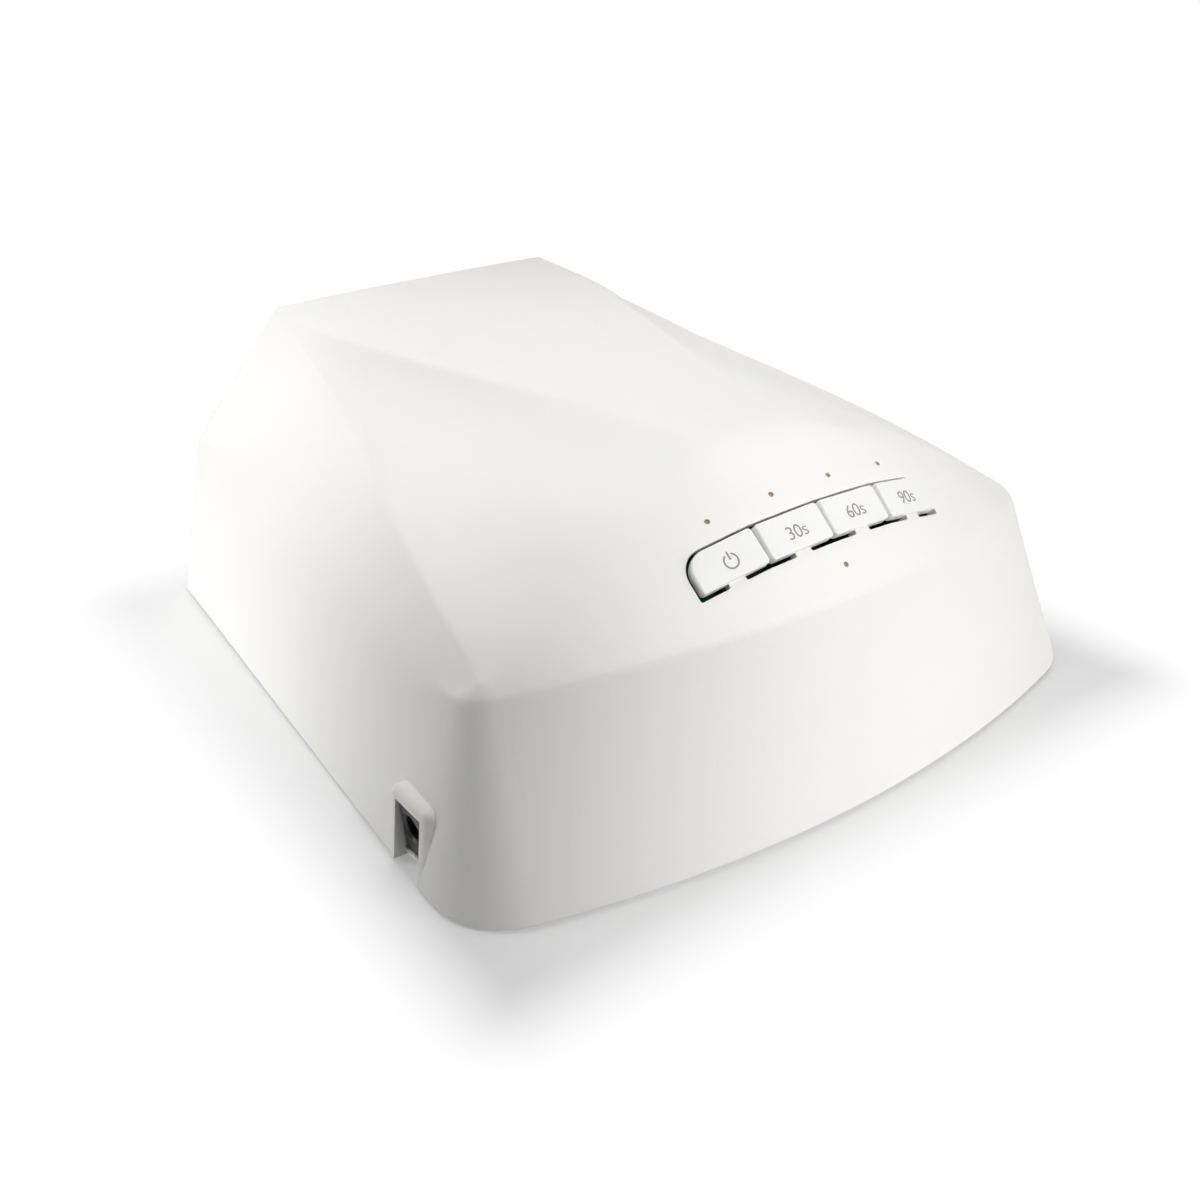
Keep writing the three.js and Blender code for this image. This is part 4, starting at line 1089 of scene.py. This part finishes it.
class NAILLAMP_OT_housing(bpy.types.Operator):
    """Makes the moulded housing with its socket boss, key windows and light holes"""
    bl_idname = "nail_lamp.housing"
    bl_label = "Housing"

    def execute(self, context):
        shape = HousingShape()
        s = shape.s
        piece = skin(shape)
        soften_panel_edge(piece, shape)
        give_wall(piece, shape)
        boolean(piece, boss(shape), "UNION")
        towers = screw_rods("tower", s.tower_radius,
                            lambda low, high: (low + s.tower_start, low + s.tower_height), 40)
        boolean(piece, towers, "UNION")
        boolean(piece, notch(shape), "DIFFERENCE")
        openings = [key_window(shape, index) for index in KEY_PLACES.values()]
        for window in openings[1:]:
            boolean(openings[0], window, "UNION")
        cutters = openings[:1]
        for spot in light_places(shape):
            cutters.append(rod("hole", shape.k.light_hole / 2, MM - CUT_DEEP, CUT_CLEAR - MM, 32))
            place(cutters[-1], spot)
        cutters.append(screw_rods("bore", s.tower_bore / 2, lambda low, high: (0, high + CLEAR), 32))
        boolean(piece, join("openings", cutters), "DIFFERENCE")
        smooth_shade(piece, HOUSING_ANGLE)
        finish_piece(piece, "housing", "housing_white", "top_shell")
        return {"FINISHED"}


# Keys and lights

def key_post(shape, spot):
    """The post that reaches from a key down to its switch, upright on the control board."""
    k = shape.k
    board = shape.panel_frame(0)
    middle = board.inverted() @ spot @ Vector((0, 0, k.rise - k.thickness / 2))
    post = rod("post", k.post_radius, k.switch_height + shape.s.fit - k.board_drop, middle.z, 24)
    place(post, board @ Matrix.Translation((middle.x, middle.y, 0)))
    return post


def legend(text, k):
    """A printed legend, cut from Blender's own plain typeface."""
    deselect()
    bpy.ops.object.text_add()
    letters = bpy.context.object.data
    size = k.legend * DIGITS_TO_SIZE
    values = {"body": text, "size": size, "align_x": "CENTER", "align_y": "CENTER", "resolution_u": 8,
              "offset": -size * THINNING, "space_character": DIGIT_SPACING, "extrude": k.print_depth}
    for name, value in values.items():
        setattr(letters, name, value)
    bpy.ops.object.convert(target="MESH")
    piece = added("legend_" + text)
    merge(piece, HAIR)
    return piece


def power_symbol(k):
    """An open ring with an upright bar in its gap."""
    half, thick = k.stroke / 2, k.print_depth
    ring = rod("legend_power", k.ring_radius, -thick, thick, 64)
    boolean(ring, rod("inside", k.ring_radius - k.stroke, -CLEAR, CLEAR, 64), "DIFFERENCE")
    gap = block("gap", (-k.ring_gap / 2, 0, -CLEAR), (k.ring_gap / 2, k.ring_radius + CLEAR, CLEAR))
    boolean(ring, gap, "DIFFERENCE")
    bar = block("bar", (-half, k.bar_low, -thick), (half, k.bar_high, thick))
    return join("legend_power", [ring, bar])


class NAILLAMP_OT_keys(bpy.types.Operator):
    """Makes the four timer keys with their printed legends"""
    bl_idname = "nail_lamp.keys"
    bl_label = "Keys"

    def execute(self, context):
        shape = HousingShape()
        k = shape.k
        half, high = (k.pitch - k.gap) / 2, k.height / 2
        for name, index in KEY_PLACES.items():
            cap = rounded_slab(name + "_cap", (-half, -high, k.rise - k.thickness), (half, high, k.rise),
                               key_corners(index, k.corner, k), 12)
            bevel_edges(cap, lambda a, b: min(a.z, b.z) > k.rise - HAIR, k.bevel, 5)
            spot = shape.panel_frame(index * k.pitch)
            place(cap, spot)
            boolean(cap, key_post(shape, spot), "UNION")
            smooth_shade(cap, ROUND_ANGLE)
            finish_piece(cap, name, "key_white", name)
            text = name.split("_")[1]
            mark = power_symbol(k) if text == "power" else legend(text, k)
            place(mark, spot @ Matrix.Translation((LEGEND_ASIDE[name] * MM, -k.legend_drop, k.rise)))
            finish_piece(mark, name, "key_white", ink="legend_ink")
        return {"FINISHED"}


class NAILLAMP_OT_lights(bpy.types.Operator):
    """Makes the light guides that fill the small holes of the panel"""
    bl_idname = "nail_lamp.lights"
    bl_label = "Lights"

    def execute(self, context):
        shape = HousingShape()
        radius = shape.k.light_hole / 2 - shape.k.light_fit
        top = -GUIDE_DROP * MM
        for i, spot in enumerate(light_places(shape), 1):
            low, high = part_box(f"light_pipe_{i}")
            reach = (high - low).length * GUIDE_LENGTH_SHARE
            guide = rod(f"light_guide_{i}", radius, -reach, top, 32)
            bevel_edges(guide, lambda a, b: min(a.z, b.z) > top - TOUCH, GUIDE_EDGE * MM, 3)
            smooth_shade(guide)
            place(guide, spot)
            finish_piece(guide, "housing", "light_guide", f"light_pipe_{i}")
        return {"FINISHED"}


# Hand cavity and lamps

class NAILLAMP_OT_cavity(bpy.types.Operator):
    """Makes the liner, the bezel and the tray of the hand cavity"""
    bl_idname = "nail_lamp.cavity"
    bl_label = "Hand cavity"

    def execute(self, context):
        for node, name, slot in (("reflector_liner", "liner_bright", "liner_silver"),
                                 ("opening_bezel", "bezel_ring", "housing_white")):
            piece = softened(node, name, CAVITY_EDGE * MM)
            smooth_shade(piece)
            finish_piece(piece, "housing", slot, node)
        tray = softened("slide_tray", "tray_plate", CAVITY_EDGE * MM)
        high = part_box("slide_tray")[1]
        reach, half = RIB_LENGTH * MM / 2, RIB_WIDTH * MM / 2
        for i in range(RIBS):
            y = high.y - (RIB_START + RIB_PITCH * i) * MM
            rib = block("rib", (-reach, y - half, high.z - RIB_ROOT * MM),
                        (reach, y + half, high.z + RIB_RISE * MM))
            bevel_edges(rib, lambda a, b: min(a.z, b.z) > high.z, RIB_EDGE * MM, 4)
            boolean(tray, rib, "UNION")
        smooth_shade(tray)
        finish_piece(tray, "tray", "tray_white", "slide_tray")
        return {"FINISHED"}


def lamp_frames():
    """Places of the lamps, with Z from the lens into the board."""
    for i in LAMPS:
        middle = middle_of(f"uv_led_{i}")
        turn = 0 if abs(middle.x) < ROOF_HALF * MM else math.copysign(LAMP_TURN, middle.x)
        yield i, (Matrix.Translation(middle) @ Matrix.Rotation(turn, 4, "Y")
                  @ Matrix.Translation((0, 0, -LAMP_MIDDLE * MM)))


class NAILLAMP_OT_lamps(bpy.types.Operator):
    """Makes the twelve UV lamps with their domed lenses and rings"""
    bl_idname = "nail_lamp.lamps"
    bl_label = "UV lamps"

    def execute(self, context):
        lens = lathe("lens", LENS_PROFILE)
        ring = lathe("ring", RING_PROFILE)
        for i, spot in lamp_frames():
            finish_piece(copy_of(lens, f"lamp_lens_{i}", spot), "housing", "lamp_lens", f"uv_led_{i}")
            finish_piece(copy_of(ring, f"lamp_ring_{i}", spot), "housing", "liner_silver")
        discard(lens, ring)
        return {"FINISHED"}


# Underside and power socket

def screw():
    """A round-headed screw with a cross recess, head down, its head's underside at height 0."""
    thread = [(r, z + i * THREAD_PITCH) for i in range(THREAD_TURNS) for r, z in THREAD_PROFILE]
    piece = lathe("screw", [*SCREW_HEAD_PROFILE, *thread, *SCREW_TIP_PROFILE], 32)
    long, wide = RECESS_LONG * MM, RECESS_WIDE * MM
    for x, y in ((long, wide), (wide, long)):
        arm = block("recess", (-x, -y, -CLEAR), (x, y, RECESS_FLOOR * MM))
        for vertex in arm.data.vertices:
            if vertex.co.z > -MM:
                vertex.co.x *= RECESS_TAPER
                vertex.co.y *= RECESS_TAPER
        boolean(piece, arm, "DIFFERENCE")
    smooth_shade(piece)
    return piece


class NAILLAMP_OT_underside(bpy.types.Operator):
    """Makes the base frame with the lip under the socket, the screws and the rubber feet"""
    bl_idname = "nail_lamp.underside"
    bl_label = "Underside"

    def execute(self, context):
        s = settings("socket")
        y = HousingShape().along(SOCKET_ALONG_SHARE)
        x, half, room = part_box("power_socket")[0].x, s.width / 2, ROOM_BESIDE * MM
        base = softened("base_frame", "base_plate", PLATE_EDGE * MM)
        for start, end, high in ((-ROOM_DEPTH, PAD_SETBACK, ROOM_IN_FRONT), (0, ROOM_DEPTH, ROOM_UNDER)):
            cutter = block("room", (x + start * MM, y - room, 0), (x + end * MM, y + room, high * MM))
            boolean(base, cutter, "DIFFERENCE")
        smooth_shade(base)
        finish_piece(base, "housing", "housing_white", "base_frame")
        lip = block("socket_lip", (x - s.face_out, y - half, s.low - s.lip),
                    (x + s.lip_reach, y + half, s.low))
        bevel_edges(lip, lambda a, b: max(a.x, b.x) < x, s.lip_edge, 4)
        smooth_shade(lip)
        finish_piece(lip, "housing", "housing_white")
        foot, pattern = lathe("foot", FOOT_PROFILE), screw()
        for i in FEET:
            spot = middle_of(f"rubber_foot_{i}")
            pad = copy_of(foot, f"foot_pad_{i}", Matrix.Translation((spot.x, spot.y, 0)))
            finish_piece(pad, "housing", "foot_rubber", f"rubber_foot_{i}")
        for i in SCREWS:
            low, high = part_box(f"base_screw_{i}")
            there = Matrix.Translation(((low.x + high.x) / 2, (low.y + high.y) / 2, low.z + MM))
            turn = Matrix.Rotation(SCREW_TURN * i, 4, "Z")
            finish_piece(copy_of(pattern, f"housing_screw_{i}", there @ turn), "housing", "steel",
                         f"base_screw_{i}")
        discard(foot, pattern)
        return {"FINISHED"}


class NAILLAMP_OT_socket(bpy.types.Operator):
    """Makes the black power socket with its slightly tilted face, and its pin"""
    bl_idname = "nail_lamp.socket"
    bl_label = "Power socket"

    def execute(self, context):
        s = settings("socket")
        y = HousingShape().along(SOCKET_ALONG_SHARE)
        low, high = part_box("power_socket")
        body = block("socket_body", (low.x, y - s.width / 2, s.low), (high.x, y + s.width / 2, s.high))
        tilt = math.atan(SOCKET_LEAN_SHARE)
        for vertex in body.data.vertices:
            if vertex.co.x < low.x + MM:
                vertex.co.x = low.x - s.face_out - (vertex.co.z - s.face_height) * SOCKET_LEAN_SHARE
        bevel_edges(body, lambda a, b: max(a.x, b.x) < low.x + MM, s.edge, 4)
        face = (Matrix.Translation((low.x - s.hole_out, y + s.hole_aside, s.hole_height))
                @ Matrix.Rotation(math.pi / 2 - tilt, 4, "Y"))
        hole = lathe("hole", SOCKET_HOLE_PROFILE)
        place(hole, face)
        boolean(body, hole, "DIFFERENCE")
        pad = block("pad_room", (low.x + PAD_SETBACK * MM, y - PAD_BESIDE * MM, 0),
                    (high.x + MM, y + PAD_BESIDE * MM, PAD_TOP * MM))
        boolean(body, pad, "DIFFERENCE")
        smooth_shade(body)
        finish_piece(body, "housing", "socket_black", "power_socket")
        pin = lathe("socket_pin", PIN_PROFILE, 24)
        place(pin, face)
        finish_piece(pin, "housing", "steel", "power_socket_pin")
        return {"FINISHED"}


# Stage

FLOOR_GREY = (0.91, 0.91, 0.91, 1)
FLOOR_ROUGHNESS = 0.6
FLOOR_SIDES = 96
FILL_STRENGTH = 0.01
SENSOR_WIDTH = 36
NEAREST_SEEN = 10 * MM


def combined(tree, operation, *values):
    """The result of a math node."""
    return add_node(tree, "Math", dict(enumerate(values)), operation=operation).outputs["Value"]


def fading_white(material, outline, near, far):
    """Diffuse near the lamp, so that the shadow shows, and plain white for the camera further out."""
    material.use_nodes = True
    tree = material.node_tree
    shader = tree.nodes["Principled BSDF"]
    shader.inputs["Base Color"].default_value = FLOOR_GREY
    shader.inputs["Roughness"].default_value = FLOOR_ROUGHNESS
    reach = add_node(tree, "TexCoord", {}).outputs["Object"]
    steps = (("ABSOLUTE", {}), ("SUBTRACT", {1: (*outline, 0)}), ("MAXIMUM", {1: (0, 0, 0)}))
    for operation, other in steps:
        reach = add_node(tree, "VectorMath", {0: reach, **other}, operation=operation).outputs["Vector"]
    reach = add_node(tree, "VectorMath", {0: reach}, operation="LENGTH").outputs["Value"]
    fade = add_node(tree, "MapRange", {"From Min": near, "From Max": far, "Value": reach},
                    interpolation_type="SMOOTHSTEP")
    path = add_node(tree, "LightPath", {}).outputs
    seen = combined(tree, "MAXIMUM", path["Is Camera Ray"], path["Is Glossy Ray"])
    share = combined(tree, "MULTIPLY", fade.outputs["Result"], seen)
    white = add_node(tree, "Emission", {"Strength": 1})
    blend = add_node(tree, "MixShader",
                     {0: share, 1: shader.outputs["BSDF"], 2: white.outputs["Emission"]})
    tree.links.new(blend.outputs["Shader"], tree.nodes["Material Output"].inputs["Surface"])


def white_world(strength):
    """White to the camera, and a plain soft fill for everything else."""
    world = bpy.data.worlds.new("studio")
    bpy.context.scene.world = world
    world.use_nodes = True
    tree = world.node_tree
    background = tree.nodes["Background"]
    background.inputs["Color"].default_value = (1, 1, 1, 1)
    path = add_node(tree, "LightPath", {}).outputs
    seen = combined(tree, "MAXIMUM", path["Is Camera Ray"], path["Is Transmission Ray"])
    level = add_node(tree, "MapRange", {"To Min": strength, "To Max": 1, "Value": seen})
    tree.links.new(level.outputs["Result"], background.inputs["Strength"])


def soft_box(name, place_at, target, size, power, spread):
    """A soft square lamp that faces a place on the lamp or the table."""
    light = bpy.data.lights.new(name, "AREA")
    light.shape = "SQUARE"
    light.size = size
    light.energy = power
    light.spread = math.radians(spread)
    box = linked(name, light)
    spot = Vector(place_at)
    facing = (Vector(target) - spot).to_track_quat("-Z", "Y")
    box.matrix_world = Matrix.Translation(spot) @ facing.to_matrix().to_4x4()
    box.visible_camera = False


# Name, place, what it faces, size in metres, power in watts, spread in degrees
SOFT_BOXES = (
    ("overhead", (0.03, 0.11, 0.37), (0, 0, 0.04), 0.3, 0.42, 180),
    ("left", (-0.3, 0.2, 0.12), (-0.09, 0.08, 0.04), 0.25, 0.075, 70),
    ("left_wall", (-0.3, 0.2, 0.12), (-0.09, 0.1, 0.04), 0.2, 0.055, 45),
    ("left_high", (-0.2, 0.1, 0.45), (-0.05, 0.03, 0.075), 0.2, 0.038, 45),
    ("right", (0.28, 0.15, 0.2), (0, 0, 0.04), 0.3, 0.1, 180),
    ("right_high", (0.25, 0, 0.35), (0.05, -0.02, 0.07), 0.2, 0.056, 60),
    ("right_front", (0.3, 0, 0.3), (0, 0, 0.04), 0.3, 0.041, 180),
    ("panel", (-0.05, -0.32, 0.3), (-0.03, -0.085, 0.055), 0.1, 0.0265, 35),
    ("front", (0.2, -0.4, 0.12), (0.05, -0.1, 0.03), 0.2, 0.106, 50),
    ("back", (0, 0.45, 0.1), (0, 0.1, 0.03), 0.3, 0.25, 90),
)


class NAILLAMP_OT_stage(bpy.types.Operator):
    """Sets up the floor, the light and the camera"""
    bl_idname = "nail_lamp.stage"
    bl_label = "Stage"

    def execute(self, context):
        s = settings("stage")
        deselect()
        bpy.ops.mesh.primitive_circle_add(vertices=FLOOR_SIDES, radius=s.floor_radius, fill_type="NGON")
        floor = added("floor")
        material = bpy.data.materials.new("pale_floor")
        fading_white(material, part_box("top_shell")[1][:2], s.white_start, s.white_end)
        floor.data.materials.append(material)
        white_world(FILL_STRENGTH)
        for row in SOFT_BOXES:
            soft_box(*row)
        camera = bpy.data.cameras.new("camera")
        camera.sensor_width = SENSOR_WIDTH
        camera.lens = s.lens
        camera.clip_start = NEAREST_SEEN
        view = linked("camera", camera)
        view.location = s.eye
        view.rotation_euler = (math.pi / 2 - s.elevation, 0, s.azimuth)
        context.scene.camera = view
        context.scene.view_settings.view_transform = "Standard"
        return {"FINISHED"}


class NAILLAMP_PT_panel(bpy.types.Panel):
    """Lists the steps that dress the lamp"""
    bl_idname = "NAILLAMP_PT_panel"
    bl_label = "UV Nail Lamp"
    bl_space_type = "VIEW_3D"
    bl_region_type = "UI"
    bl_category = "Nail Lamp"

    def draw(self, context):
        for step in STEPS:
            self.layout.operator(step.bl_idname)


GROUPS = {
    "nail_lamp_housing": HousingSizes,
    "nail_lamp_keys": KeySizes,
    "nail_lamp_socket": SocketSizes,
    "nail_lamp_colours": FinishColours,
    "nail_lamp_stage": StageSizes,
}
STEPS = (
    NAILLAMP_OT_finishes,
    NAILLAMP_OT_housing,
    NAILLAMP_OT_keys,
    NAILLAMP_OT_lights,
    NAILLAMP_OT_cavity,
    NAILLAMP_OT_lamps,
    NAILLAMP_OT_underside,
    NAILLAMP_OT_socket,
    NAILLAMP_OT_stage,
)


def register():
    for name, group in GROUPS.items():
        bpy.utils.register_class(group)
        setattr(bpy.types.Scene, name, bpy.props.PointerProperty(type=group))
    for step in STEPS + (NAILLAMP_PT_panel,):
        bpy.utils.register_class(step)


def unregister():
    for step in reversed(STEPS + (NAILLAMP_PT_panel,)):
        bpy.utils.unregister_class(step)
    for name, group in GROUPS.items():
        delattr(bpy.types.Scene, name)
        bpy.utils.unregister_class(group)


def main():
    register()
    bpy.ops.nail_lamp.finishes()
    bpy.ops.nail_lamp.housing()
    bpy.ops.nail_lamp.keys()
    bpy.ops.nail_lamp.lights()
    bpy.ops.nail_lamp.cavity()
    bpy.ops.nail_lamp.lamps()
    bpy.ops.nail_lamp.underside()
    bpy.ops.nail_lamp.socket()
    bpy.ops.nail_lamp.stage()


if __name__ == "__main__":
    main()
